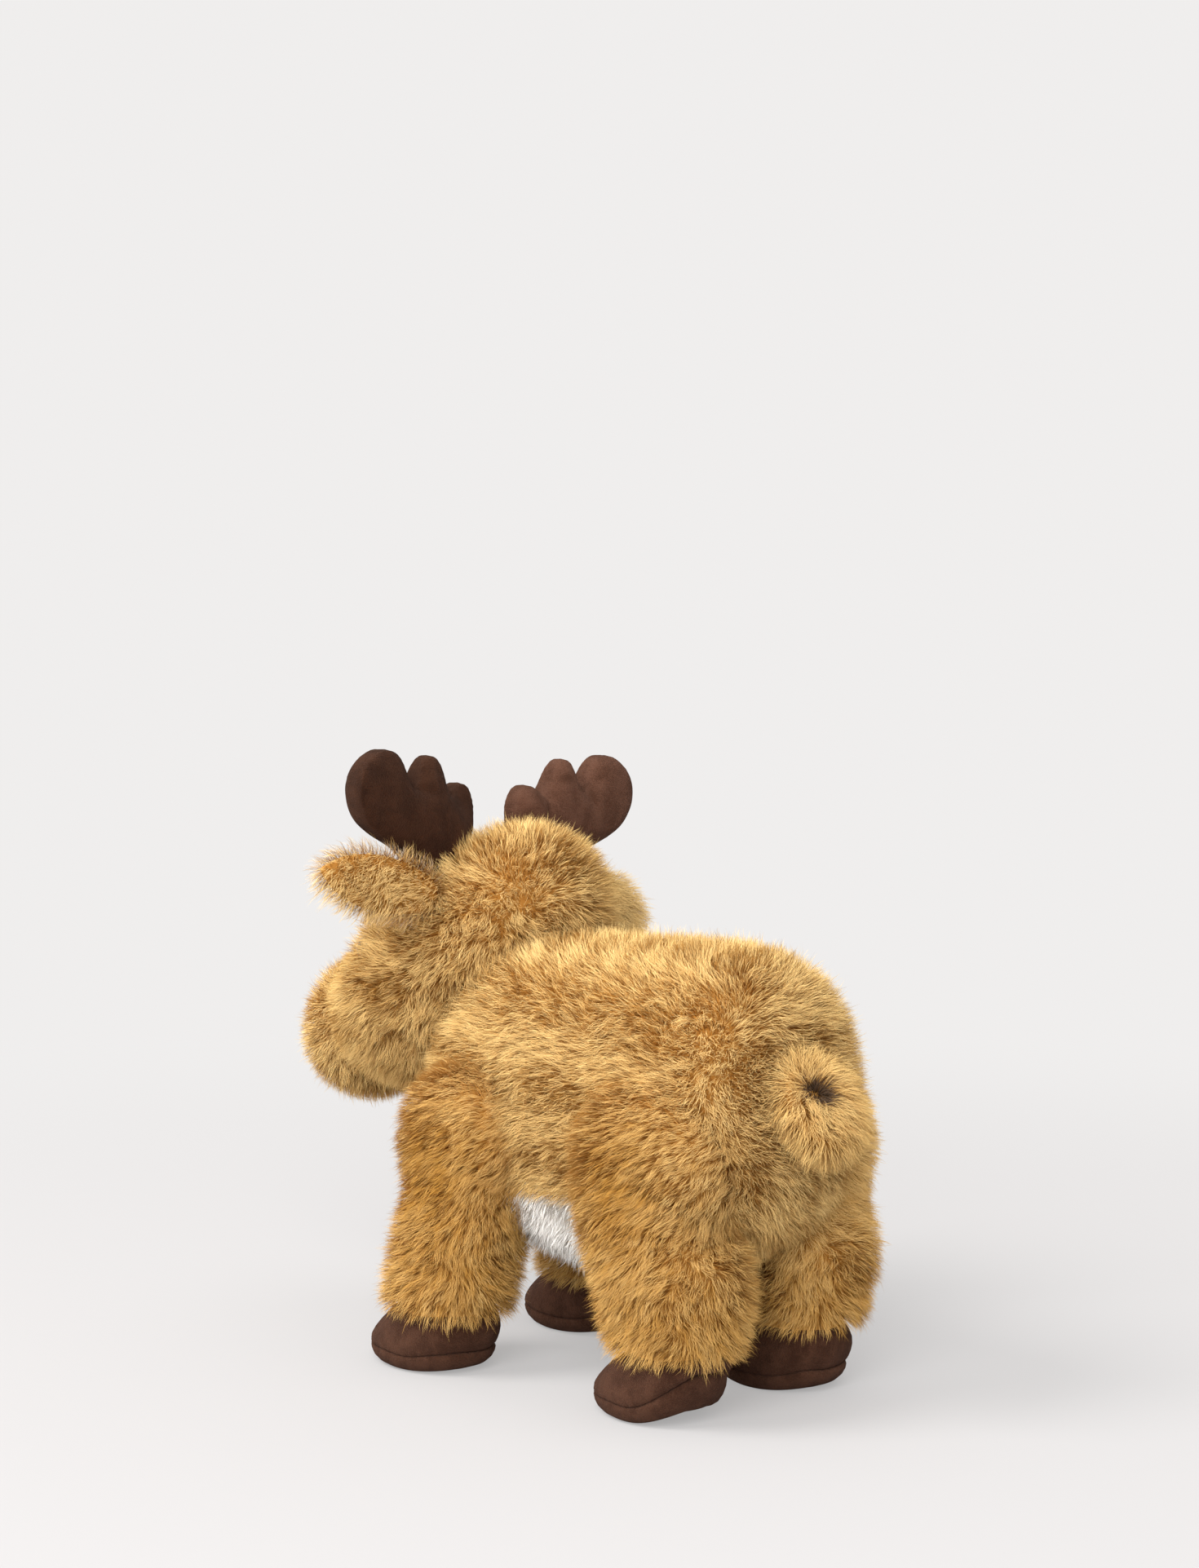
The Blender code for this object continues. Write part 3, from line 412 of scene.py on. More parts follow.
def lengthwise_depth(form, points):
    """Under 0 inside the form: the sum of the shares of width and height, each to the power 2 / fullness."""
    rows = lengthwise_rows(form)
    height, width, rise, drop = (np.interp(points[:, 1], rows[:, 0], rows[:, k]) for k in (1, 2, 3, 4))
    above = points[:, 2] - height
    power = 2 / form["fullness"]
    share = np.abs(points[:, 0]) / (width + TINY), np.abs(above) / (np.where(above > 0, rise, drop) + TINY)
    outside = (points[:, 1] < rows[0, 0]) | (points[:, 1] > rows[-1, 0])
    return np.where(outside, 1.0, share[0] ** power + share[1] ** power - 1)


def shaft_rows(leg):
    """Fine level rings of a leg's shaft, top to bottom: height, out, back, half width and half length."""
    hip, ankle = leg["hip"], leg["ankle_height"]
    top_rise, top_size = HAUNCH_SHARES
    marks = (
        (hip[2] + leg["haunch"][1] * top_rise, hip[:2], (0, 0)),
        (hip[2], hip[:2], np.multiply(leg["haunch"], top_size)),
        ((hip[2] + leg["knee_height"]) / 2, hip[:2], leg["knee"]),
        (leg["knee_height"], leg["knee_place"], leg["knee"]),
        (ankle, leg["ankle_place"], leg["ankle"]),
        (ankle - (hip[2] - ankle) * ANKLE_END, leg["ankle_place"], (0, 0)),
    )
    rows = [(height, *place, *drawn_in(np.array(size), PILE)) for height, place, size in marks]
    return smooth_rows(rows, [True, True, True, False, False])


def shaft_grid(leg):
    height, out, back, width, length = shaft_rows(leg).T[:, :, None]
    return points_of(out + width * np.cos(full_turn()), back - length * np.sin(full_turn()), height)


def shaft_depth(leg, points):
    """Under 0 inside the shaft: the sum of the squares of the shares of its half width and half length."""
    rows = shaft_rows(leg)[::-1]
    out, back, width, length = (np.interp(points[:, 2], rows[:, 0], rows[:, k]) for k in (1, 2, 3, 4))
    outside = (points[:, 2] < rows[0, 0]) | (points[:, 2] > rows[-1, 0])
    share = ((points[:, 0] - out) / (width + TINY)) ** 2 + ((points[:, 1] - back) / (length + TINY)) ** 2
    return np.where(outside, 1.0, share - 1)


def haunch_grid(leg):
    """A cushion round the hip: a ball squeezed across the deer."""
    half_width, radius = (size - PILE for size in leg["haunch"])
    polar = np.linspace(0, np.pi, 4 * RING_STEPS + 1)[:, None]
    turn = full_turn()
    across = radius * np.sin(polar)
    return points_of(-half_width * np.cos(polar), across * np.cos(turn), across * np.sin(turn)) + leg["hip"]


def haunch_depth(leg, points):
    """Under 0 inside the cushion: the sum of the squares of the shares of its half sizes, less 1."""
    half_width, radius = (size - PILE for size in leg["haunch"])
    return ((points - leg["hip"]) ** 2 / (half_width ** 2, radius ** 2, radius ** 2)).sum(axis=1) - 1


def flap_frame(place, ahead, side):
    """Columns: a flap's own directions along, across and through it."""
    along = np.array(ahead) / np.linalg.norm(ahead)
    across = np.array(side) - np.dot(side, along) * along
    across /= np.linalg.norm(across)
    return np.array(place), np.column_stack([along, across, np.cross(along, across)])


def flap_grid(flap, place):
    """A flap's rings, ellipses across and through it, along its own line."""
    shares = np.array(flap["shares"])
    sizes = drawn_in(shares[:, 1:] * flap["half_size"], flap["inset"])
    rows = smooth_rows(np.column_stack([shares[:, 0] * flap["length"], sizes]), [True, False, False])
    along, width, thickness = rows.T[:, :, None]
    turn = full_turn(ROUND_STEPS // 2)
    origin, directions = place
    return points_of(along, width * np.cos(turn), thickness * np.sin(turn)) @ directions.T + origin


def build(name, vertices, faces, material, body):
    """A piece from points in the frame's own coordinates."""
    mesh = bpy.data.meshes.new(name)
    mesh.from_pydata(np.asarray(vertices).tolist(), [], [list(map(int, face)) for face in faces])
    mesh.update()
    mesh.shade_smooth()
    mesh.materials.append(material)
    piece = add_object(name, mesh)
    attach(piece, body)
    return piece


def closed_faces(grid):
    """Vertices and faces of rings that close at both ends. A column after the place is carried along."""
    rows, columns = grid.shape[:2]
    middle = grid[1:-1].reshape(-1, grid.shape[-1])
    vertices = np.vstack([middle, grid[0].mean(axis=0), grid[-1].mean(axis=0)])
    ring = np.arange(columns)
    following = (ring + 1) % columns
    faces = []
    for row in range(rows - 3):
        near, far = row * columns, (row + 1) * columns
        faces += np.column_stack([near + ring, far + ring, far + following, near + following]).tolist()
    first, last = len(middle), len(middle) + 1
    faces += np.column_stack([np.full(columns, first), ring, following]).tolist()
    end = (rows - 3) * columns
    faces += np.column_stack([np.full(columns, last), end + following, end + ring]).tolist()
    return vertices, faces


def face_vectors(vertices, corners):
    """Each triangle's (B-A) x (C-A), and the sum of (A - middle) . that, over 0 if they turn outwards."""
    a, b, c = (vertices[corners[:, k]] for k in range(3))
    across = np.cross(b - a, c - a)
    return across, np.einsum("ij,ij->i", a - vertices.mean(axis=0), across).sum()


def triangles_of(vertices, faces):
    """The faces as triangles, their areas, and smooth outward normals at the vertices."""
    corners = np.array([[face[0], face[k], face[k + 1]] for face in faces for k in range(1, len(face) - 1)])
    across, volume = face_vectors(vertices, corners)
    across *= np.sign(volume)
    normals = np.zeros_like(vertices)
    for k in range(3):
        np.add.at(normals, corners[:, k], across)
    normals /= np.linalg.norm(normals, axis=1, keepdims=True) + 1e-12
    return corners, np.linalg.norm(across, axis=1) / 2, normals


def mark_seam(piece, distance):
    """Keep every point's distance from the nearest seam, in mm, for the painted shade of the groove there."""
    marks = piece.data.attributes.new("from_seam", "FLOAT", "POINT")
    marks.data.foreach_set("value", np.ascontiguousarray(distance, np.float32))


# %% [markdown]
# The fabric's backing is knitted and dyed brown, and it is only glimpsed between the hairs. A stuffed part
# is one piece of it here, because its own seams are lost in the pile. It stands for the frame's covers and
# for their stuffing.

# %% Skins
KNIT = {"scale": 600, "detail": 2, "roughness": 1.0, "specular_ior_level": 0.1}
backing = grained("fur_backing", (0.38, 0.165, 0.030), (0.54, 0.255, 0.055), **KNIT)
white_backing = grained("white_backing", (0.78, 0.73, 0.68), (0.90, 0.86, 0.82), **KNIT)
skins = {}


def is_belly(points):
    """Under the belly panel's long seams, and between its ends."""
    front, rear = BELLY_ENDS
    within = (points[:, 1] > front) & (points[:, 1] < rear)
    return within & (points[:, 2] < BELLY_LINE)


def skin(name, grids, place, body, replaced, whitened=None):
    """One backing piece from closed grids, kept for the fur that will stand on it."""
    vertices, faces, parts = np.zeros((0, 3)), [], []
    for grid in grids:
        points, own_faces = closed_faces(grid)
        parts.append((points, *triangles_of(points, own_faces)))
        faces += [[corner + len(vertices) for corner in face] for face in own_faces]
        vertices = np.vstack([vertices, points])
    piece = build(name, place(vertices), faces, backing, body)
    if whitened is not None:
        piece.data.materials.append(white_backing)
        middles = np.array([vertices[face].mean(axis=0) for face in faces])
        piece.data.polygons.foreach_set("material_index", whitened(middles).astype(int))
    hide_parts(*replaced)
    skins[name] = parts


skin("torso_skin", [lengthwise_grid(BODY)], on_torso, "torso",
     ("body_cover", "belly_panel", "body_stuffing"), whitened=is_belly)
skin("head_skin", [lengthwise_grid(HEAD)], on_head, "head", ("head_cover", "head_stuffing"))
skin("muzzle_skin", [lengthwise_grid(MUZZLE)], on_head, "head", ("muzzle_cover",))

for side, sign in SIDES.items():
    for kind, leg in LEGS.items():
        own = f"{side}_{kind}_leg"
        skin(f"{own}_skin", [haunch_grid(leg) * (sign, 1, 1), shaft_grid(leg) * (sign, 1, 1)], on_torso, own,
             (f"{own}_cover", f"{own}_stuffing"))

ear_frames = {}
for side, sign in SIDES.items():
    rise = math.radians(EAR["rise"][side])
    ahead = (sign * math.cos(rise), -math.tan(math.radians(EAR["sweep"])), math.sin(rise))
    ear_frames[side] = flap_frame(np.multiply(EAR["root"], (sign, 1, 1)), ahead, (0, 0, sign))
    skin(f"{side}_ear_skin", [flap_grid(EAR, ear_frames[side])], on_head, f"{side}_ear",
         (f"{side}_ear_cover", f"{side}_ear_lining"))
droop = math.radians(TAIL["droop"])
tail_frame = flap_frame(TAIL["root"], (TAIL_LEAN, math.cos(droop), -math.sin(droop)), (-1, 0, 0))
skin("tail_skin", [flap_grid(TAIL, tail_frame)], on_torso, "tail", ("tail_cover", "tail_lining"))
print({name: round(sum(part[2].sum() for part in parts) / MM ** 2) for name, parts in skins.items()}, "mm2")

# %% [markdown]
# The fur is real geometry: every hair is a thin ribbon that leaves the backing upright and bends with the
# nap. Hairs round one seed lean to a common point, which makes the locks that long pile falls into. A
# ribbon's colour runs from its root to its tip along one direction of a small colour map, and its own tone
# is its place along the other, so that all ribbons share one map.

# %% Fur
rng = np.random.default_rng(11)
HAIR_MARKS = np.array([0.0, 0.4, 0.75, 1.0])  # along a hair
HAIR_TAPER = np.array([1.0, 1.0, 0.7, 0.0])
LENGTHS = (0.72, 1.12)  # shares of a fur's length that its hairs have
LONG_SHARE = 0.08  # so many of them
LONGER = 1.3  # are longer by this factor
DRIFT = 0.16
DRIFT_REACH = 0.0048
SWIRL = 0.10  # how far a whole lock leans its own way
STRAY = 0.16  # and a single hair
CURL_TURN = 4.5  # radians that a hair's wave turns from root to tip
LOCK_TIPS = 0.0008  # how far locks' common points lie from their middles
ROUNDING = 0.35  # how far a ribbon is turned, and how round its shading makes it
UPRIGHT = 0.9  # share of the skin's own normal in a hair's shading
SHADES = 0.07  # spread of the tone, for locks and for single hairs
PIECE_HAIRS = 39000
MAP_EDGE = 0.002


def unit(vectors):
    return vectors / (np.linalg.norm(vectors, axis=-1, keepdims=True) + 1e-12)


def scatter(parts, density):
    """Roots spread evenly over the parts' triangles, by area, with the smooth normals there."""
    roots, normals = [], []
    for vertices, corners, areas, vertex_normals in parts:
        count = rng.poisson(areas.sum() / MM ** 2 * density)
        chosen = rng.choice(len(corners), count, p=areas / areas.sum())
        first, second = rng.random((2, count))
        folded = first + second > 1
        first[folded], second[folded] = 1 - first[folded], 1 - second[folded]
        weights = np.column_stack([1 - first - second, first, second])[:, :, None]
        roots.append((vertices[corners[chosen]] * weights).sum(axis=1))
        normals.append(unit((vertex_normals[corners[chosen]] * weights).sum(axis=1)))
    return np.vstack(roots), np.vstack(normals)


def locks(roots, hairs):
    """The number of each root's lock: the nearest of seeds chosen among the roots, one for so many hairs.
    Such patches are irregular, so that no rows or rings show where the surface bends."""
    seeds = rng.choice(len(roots), max(1, len(roots) // hairs), replace=False)
    tree = KDTree(len(seeds))
    for number, seed in enumerate(seeds):
        tree.insert(roots[seed], number)
    tree.balance()
    return np.array([tree.find(root)[1] for root in roots])


def lock_mean(values, lock):
    total = np.bincount(lock)
    return np.stack([np.bincount(lock, values[:, k]) / total for k in range(values.shape[1])], axis=1)[lock]


def drift(points):
    """A slow change of direction over the fabric, from sines about 30 mm long, as if from handling."""
    place = points / DRIFT_REACH
    return DRIFT * np.stack([
        np.sin(place[:, 1] * 1.1 + 1.7 * np.sin(place[:, 2] * 0.6)),
        np.sin(place[:, 2] * 1.0 + 1.3 * np.sin(place[:, 0] * 0.7) + 2),
        np.sin(place[:, 0] * 0.9 + 1.5 * np.sin(place[:, 1] * 0.5) + 4),
    ], axis=1)


def hair_curves(roots, normals, length, flow, lock_hairs, lock_pull, curl):
    """Quadratic curves that leave the root towards a point half a length up the normal, and end at a tip
    that leans with the nap. The pull draws the tips of a lock together, and the curl waves a hair sideways,
    most at its tip."""
    count = len(roots)
    lengths = length * rng.uniform(*LENGTHS, (count, 1))
    lengths = lengths * np.where(rng.random((count, 1)) < LONG_SHARE, LONGER, 1)
    lock = locks(roots, lock_hairs)
    swirl = rng.normal(0, 1, (lock.max() + 1, 3))[lock]
    lean = unit(normals + flow + drift(roots) + SWIRL * swirl + STRAY * rng.normal(0, 1, (count, 3)))
    tips = roots + lean * lengths
    pull = lock_pull * rng.uniform(0.5, 1.25, (count, 1))
    tips += (lock_mean(tips, lock) + LOCK_TIPS * swirl - tips) * pull
    knees = roots + normals * lengths * 0.5
    side = unit(np.cross(lean, rng.normal(0, 1, (count, 3))))
    t = HAIR_MARKS[None, :, None]
    points = (1 - t) ** 2 * roots[:, None] + 2 * t * (1 - t) * knees[:, None] + t ** 2 * tips[:, None]
    phase = rng.uniform(0, 2 * np.pi, (count, 1, 1))
    return points + side[:, None] * curl * t * np.sin(phase + CURL_TURN * t), lock


def ribbons(name, points, normals, half_width, tone, material, body):
    """Flat ribbons of seven points: three pairs and a tip. Each faces outwards, within a random turn."""
    count = len(points)
    along = unit(np.gradient(points, axis=1))
    facing = normals[:, None] + ROUNDING * rng.normal(0, 1, (count, 1, 3))
    across = unit(np.cross(along, facing))
    outward = unit(np.cross(across, along))
    offset = across * (half_width * HAIR_TAPER)[None, :, None]
    left, right = points[:, :3] - offset[:, :3], points[:, :3] + offset[:, :3]
    vertices = np.concatenate([np.stack([left, right], axis=2).reshape(count, 6, 3), points[:, 3:]], axis=1)
    bent = unit(outward + UPRIGHT * normals[:, None])
    aside = ROUNDING * across[:, :3]
    sides = np.stack([bent[:, :3] - aside, bent[:, :3] + aside], axis=2).reshape(count, 6, 3)
    shading = unit(np.concatenate([sides, bent[:, 3:]], axis=1))

    corners = np.array([0, 1, 3, 2, 2, 3, 5, 4, 4, 5, 6])
    sizes = np.array([4, 4, 3])
    loops = (corners[None] + 7 * np.arange(count)[:, None]).ravel()
    starts = np.concatenate([[0], np.cumsum(np.tile(sizes, count))[:-1]])
    mesh = bpy.data.meshes.new(name)
    mesh.vertices.add(count * 7)
    mesh.vertices.foreach_set("co", vertices.ravel())
    mesh.loops.add(len(loops))
    mesh.loops.foreach_set("vertex_index", loops)
    mesh.polygons.add(count * 3)
    mesh.polygons.foreach_set("loop_start", starts)
    mesh.update(calc_edges=True)
    normal = mesh.attributes.new("custom_normal", "FLOAT_VECTOR", "POINT")
    normal.data.foreach_set("vector", shading.ravel())
    v = np.repeat(HAIR_MARKS, 2)[corners]
    u = tone[:, None] + np.array([-1, 1, -1, 1, -1, 1, 0])[corners] * MAP_EDGE
    chart = np.clip(points_of(u, v), MAP_EDGE, 1 - MAP_EDGE)
    mesh.uv_layers.new(name="OFBake").data.foreach_set("uv", chart.ravel())
    mesh.materials.append(material)
    piece = add_object(name, mesh)
    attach(piece, body)


def fur(name, skin_name, place, body, material, flow, *, length=0.0125, density=2.1, hidden=None, kept=None,
        tone=None, lock_hairs=18, lock_pull=0.18, curl=0.0010, half_width=0.00010):
    """Hair on a skin, with so many a square millimetre. Roots that are hidden in another part are left out,
    and so are those that aren't kept. The flow is the nap's lean, and the tone is 0 to 1, dark to light."""
    roots, normals = scatter(skins[skin_name], density)
    keep = np.ones(len(roots), bool)
    if hidden is not None:
        keep &= ~hidden(roots)
    if kept is not None:
        keep &= kept(roots)
    roots, normals = roots[keep], normals[keep]
    long = length(roots)[:, None] if callable(length) else length
    curves, lock = hair_curves(roots, normals, long, flow(roots, normals), lock_hairs, lock_pull, curl)
    base = 0.5 if tone is None else tone(roots, normals)
    shade = base + SHADES * rng.normal(0, 1, lock.max() + 1)[lock] + SHADES * rng.normal(0, 1, len(roots))
    pieces = 1 + len(roots) // PIECE_HAIRS
    share = np.argsort(roots[:, 0], kind="stable")
    for number, chosen in enumerate(np.array_split(share, pieces)):
        label = name if pieces == 1 else f"{name}_{number + 1}"
        world = place(curves[chosen].reshape(-1, 3)).reshape(-1, 4, 3)
        turned = place(roots[chosen] + normals[chosen]) - place(roots[chosen])
        ribbons(label, world, turned, half_width, np.clip(shade[chosen], 0, 1), material, body)
    print(name, len(roots), "hairs in", pieces, "pieces")


def fur_finish(name, root, darkest, lightest):
    """The colour of a hair: its tone picks a colour between two, and it goes over from the root's to that."""
    finish = Finish(name, roughness=0.75, specular_ior_level=0.12)
    chart = finish.node("UVMap", {"uv_map": "OFBake"})
    tone, along = (finish.node("SeparateXYZ", {}, {0: chart}, output=k) for k in (0, 1))
    tint = finish.mix(darkest, lightest, tone)
    # the root's darker colour is partly painted shade deep in the pile
    return finish.set(base_color=finish.mix(root, tint, finish.rise(along, 0.05, 0.9)))


tan_fur = fur_finish("tan_fur", (0.33, 0.140, 0.020), (0.55, 0.275, 0.050), (1.0, 0.730, 0.315))
white_fur = fur_finish("white_fur", (0.92, 0.86, 0.79), (0.98, 0.95, 0.90), (1.0, 0.99, 0.96))
pale_fur = fur_finish("pale_fur", (0.55, 0.38, 0.22), (0.82, 0.64, 0.44), (1.0, 0.86, 0.66))
tail_fur = fur_finish("tail_fur", (0.030, 0.014, 0.007), (0.055, 0.026, 0.014), (0.26, 0.17, 0.10))

GRAVITY = np.array([0, 0, -1.0])
FACET_SLACK = 0.03  # a facet's middle lies this share inside the round form, and its hair is kept


def in_form(form, points):
    return lengthwise_depth(form, points) < 0


def beside(form, points, reach):
    """1 inside a form and less outside: e to the power -depth / reach."""
    return np.exp(-np.maximum(lengthwise_depth(form, points), 0) / reach)


def in_leg(leg, sign, points, slack=0.0):
    """Inside a leg's cushion or shaft, by more than the slack."""
    own = points * (sign, 1, 1)
    return (haunch_depth(leg, own) < -slack) | (shaft_depth(leg, own) < -slack)


def in_legs(points):
    return np.any([in_leg(leg, sign, points) for sign in SIDES.values() for leg in LEGS.values()], axis=0)


def from_torso_to_head(points):
    return (points - neck_ball) @ head_turn + neck_ball


def from_head_to_torso(points):
    return on_head(points) - deer_place


def in_head(points):
    """Inside the turned head or muzzle, for points of the torso."""
    own = from_torso_to_head(points)
    return in_form(HEAD, own) | in_form(MUZZLE, own)


def lengthwise_normal(points):
    """Outwards from the body's axis, by the shares of its width and height."""
    width, rise, _ = BODY["half_size"]
    return unit((points - (0, 0, BODY["heights"][0])) / (width ** 2, 1e9, rise ** 2))


def nap(backward, down):
    """Hair leans back along the body and down, as cut pile does."""
    def flow(roots, normals):
        lean = np.zeros_like(roots) + np.array([0, backward, 0]) + GRAVITY * down
        return lean - normals * (lean * normals).sum(axis=1, keepdims=True)
    return flow


# painted shade at the haunches: where under the hip it is deepest, and how far round it reaches
HAUNCH_DROP, HAUNCH_REACH = 0.004, 0.036  # where under the hip the coat is darkest, and how far round it
MIDDLE_WIDTH = 0.02
LEG_TOP, LEG_FADE = 0.105, 0.05


def shaded_coat_tone(roots, normals):
    """Painted shade: darker at the middle of a haunch, where the pile points straight outwards and shows the
    shade deep between its hairs, and down the legs. Body and legs share this, so that no edge shows between
    them."""
    haunch = np.zeros(len(roots))
    for leg in LEGS.values():
        across = roots[:, 1:] - np.add(leg["hip"][1:], (0, -HAUNCH_DROP))
        haunch = np.maximum(haunch, np.exp(-(np.linalg.norm(across, axis=1) / HAUNCH_REACH) ** 2))
    haunch *= np.clip((np.abs(roots[:, 0]) - MIDDLE_WIDTH) / MIDDLE_WIDTH, 0, 1)
    # the base tone less painted shade: up to 0.66 at a haunch's middle and up to 0.46 down the legs
    return 0.74 - 0.66 * haunch - 0.46 * np.clip((LEG_TOP - roots[:, 2]) / LEG_FADE, 0, 1)


def torso_tone(roots, normals):
    """A little paler beside the neck, out to about two centimetres."""
    return shaded_coat_tone(roots, normals) + 0.10 * beside(HEAD, from_torso_to_head(roots), 0.25)


def eye_outward(sign):
    """The way that an eye looks."""
    level = np.array([math.sin(EYE_OUT) * sign, -math.cos(EYE_OUT), 0]) * math.cos(EYE_UP)
    return level + (0, 0, math.sin(EYE_UP))


def from_eyes(roots):
    """Each root's way from the nearer eye's line of sight, measured square to that line."""
    nearest = np.full((len(roots), 3), 1.0)
    for sign in SIDES.values():
        away = roots - EYE_PLACE * (sign, 1, 1)
        along = away @ eye_outward(sign)
        across = away - along[:, None] * eye_outward(sign)
        closer = (np.linalg.norm(across, axis=1) < np.linalg.norm(nearest, axis=1)) & (np.abs(along) < 0.03)
        nearest[closer] = across[closer]
    return nearest


def before_eye(across):
    """1 in front of an eye and 0 behind it, where the long pile stands and hides the eye from the rear."""
    return np.clip(0.35 - across[:, 1] / 0.008, 0, 1)


def head_flow(roots, normals):
    """Back and down, and in front of an eye away from it, so that the pile leaves it clear from there."""
    across = from_eyes(roots)
    far = np.linalg.norm(across, axis=1, keepdims=True)
    near = before_eye(across)[:, None] * np.exp(-(far / 0.013) ** 4)
    return nap(0.05, 0.10)(roots, normals) + across / (far + TINY) * near


def head_length(roots):
    """Shorter in front of the eyes, and a little longer behind them."""
    across = from_eyes(roots)
    near = np.exp(-(np.linalg.norm(across, axis=1) / 0.014) ** 4)
    return 0.0125 + (0.0020 - 0.0065 * before_eye(across)) * near


def head_tone(roots, normals):
    """Shaded where the head meets the back, and pale on the cheeks beside the muzzle."""
    near = beside(BODY, from_head_to_torso(roots), 0.35)
    return 0.47 - 0.62 * near + 0.62 * beside(MUZZLE, roots, 0.9)


EYE_CLEAR = 0.0078  # no hair grows nearer to an eye's middle
NOSE_CLEAR = 0.6  # nor where the squares of the shares of the nose's half sizes add up to less
MUZZLE_FRONT = -0.18
HOOF_CLEAR = 0.003  # nor lower over an ankle


def beside_face(roots):
    """Roots of the head that the muzzle, the body or an eye covers."""
    at_eye = np.linalg.norm(from_eyes(roots), axis=1) < EYE_CLEAR
    return in_form(MUZZLE, roots) | at_eye | in_form(BODY, from_head_to_torso(roots))


def behind_nose(roots):
    """Roots of the muzzle that the head or the nose covers."""
    from_nose = (((roots - NOSE_PLACE) / NOSE_HALF_SIZE)[:, [0, 2]] ** 2).sum(axis=1)
    return in_form(HEAD, roots) | ((from_nose < NOSE_CLEAR) & (roots[:, 1] <= MUZZLE_FRONT))


fur("torso_fur", "torso_skin", on_torso, "torso", tan_fur, nap(0.0, 0.12), tone=torso_tone,
    hidden=lambda roots: in_legs(roots) | in_head(roots) | is_belly(roots), lock_hairs=24, lock_pull=0.22)
fur("belly_fur", "torso_skin", on_torso, "torso", white_fur, nap(0.2, 0.25), hidden=in_legs, kept=is_belly,
    length=0.012, density=1.5, curl=0.0004, half_width=0.00014)
fur("head_fur", "head_skin", on_head, "head", tan_fur, head_flow, tone=head_tone, hidden=beside_face,
    length=head_length, lock_hairs=30, lock_pull=0.30)
fur("muzzle_fur", "muzzle_skin", on_head, "head", tan_fur, nap(0.2, 0.15), tone=lambda roots, normals: 0.74,
    hidden=behind_nose, length=0.010)
for side, sign in SIDES.items():
    for kind, leg in LEGS.items():
        def buried(roots, leg=leg, sign=sign):
            under = roots[:, 2] < leg["ankle_height"] + HOOF_CLEAR
            return under | in_leg(leg, sign, roots, FACET_SLACK) | in_form(BODY, roots)

        def leg_flow(roots, normals, leg=leg, sign=sign):
            """Down, and over the haunch outwards like the body's own hair, so that no edge shows round it."""
            high = np.clip((roots[:, 2:] - leg["knee_height"]) / (leg["hip"][2] - leg["knee_height"]), 0, 1)
            outward = unit(lengthwise_normal(roots) + np.array([0.6 * sign, 0, 0]))
            return nap(0.0, 0.30)(roots, normals) + 1.1 * high * outward

        own = f"{side}_{kind}_leg"
        fur(f"{own}_fur", f"{own}_skin", on_torso, own, tan_fur, leg_flow, tone=shaded_coat_tone, hidden=buried,
            lock_hairs=30, lock_pull=0.34)
    own = f"{side}_ear"
    ear_origin, ear_directions = ear_frames[side]

    def along_ear(roots, normals, line=ear_directions[:, 0]):
        return np.broadcast_to(0.50 * line + 0.30 * GRAVITY, roots.shape)

    def in_lining(roots, origin=ear_origin, through=ear_directions[:, 2]):
        """On the half of the ear that looks ahead."""
        return (roots - origin) @ through * -np.sign(through[1]) > 0

    fur(f"{own}_fur", f"{own}_skin", on_head, own, tan_fur, along_ear, length=0.0115, hidden=in_lining,
        tone=lambda roots, normals: 0.82 + 0.18 * np.clip(-1.5 * normals[:, 2], 0, 1))
    fur(f"{own}_lining_fur", f"{own}_skin", on_head, own, pale_fur, along_ear, length=0.0095, kept=in_lining)

# The tail's hair parts round one point, where its dark lining shows
tail_origin, tail_directions = tail_frame
PARTING = tail_origin + tail_directions @ np.array([0.020, -0.004, 0.0060])
PARTING_REACH = 0.012
TAIL_BARE, PATCH_REACH = 0.0050, 0.0066  # from the parting: the tail's hair starts, and the patch ends


def parted(roots, normals):
    """Away from the parting, strongly near it and not at all further off."""
    away = roots - PARTING
    far = np.linalg.norm(away, axis=1, keepdims=True)
    return away / (far + TINY) * 0.65 * np.exp(-(far / (1.6 * PARTING_REACH)) ** 2) + 0.55 * GRAVITY


def from_parting(roots):
    return np.linalg.norm(roots - PARTING, axis=1)


fur("tail_fur", "tail_skin", on_torso, "tail", tan_fur, parted, length=0.0138, density=3.0, curl=0.0015,
    lock_hairs=44, hidden=lambda roots: from_parting(roots) < TAIL_BARE,
    tone=lambda roots, normals: 0.52 + 0.15 * np.clip(1 - from_parting(roots) / 0.02, 0, 1))
fur("tail_patch_fur", "tail_skin", on_torso, "tail", tail_fur, parted, length=0.0085, density=4.5,
    kept=lambda roots: from_parting(roots) < PATCH_REACH)
print("the tail's hair parts at", np.round(on_torso(PARTING) / MM, 1), "mm")

# %% [markdown]
# An antler is two flat velour patterns sewn together at the rim, turned and stuffed. Stuffing pushes the
# fabric out as a membrane under even pressure, so its height is found the way a membrane's is: by solving
# Poisson's equation inside the pattern. Tines between two notches come out narrow and round, the palm wide
# and flatter, and the fabric pinches where a notch ends.

# %% Antlers
ANTLER_ROOT = np.array([0.030, -0.097, 0.2410])
# The pattern's seam line, (up, out) in mm from the root
PATTERN = np.array([
    (-8, -6), (1, -11), (8, -15), (15, -18.5), (22, -20.5), (29, -19.5), (33.5, -15.5), (34.5, -9.5),
    (31.5, -4), (28.5, 0.5), (33.5, 3.5), (40, 5.5), (45.5, 8.5), (48, 13), (46.5, 18), (41, 21.5),
    (35, 23.5), (31.5, 26), (35, 29), (41.5, 31), (47, 34.5), (50, 40), (50, 47), (47, 53.5), (42, 59),
    (35.5, 62), (28, 62.5), (20.5, 60), (13.5, 55), (8.5, 47), (4.5, 38), (1, 30), (-3.5, 24), (-8, 18),
    (-10, 8), (-10, 0),
]) * MM
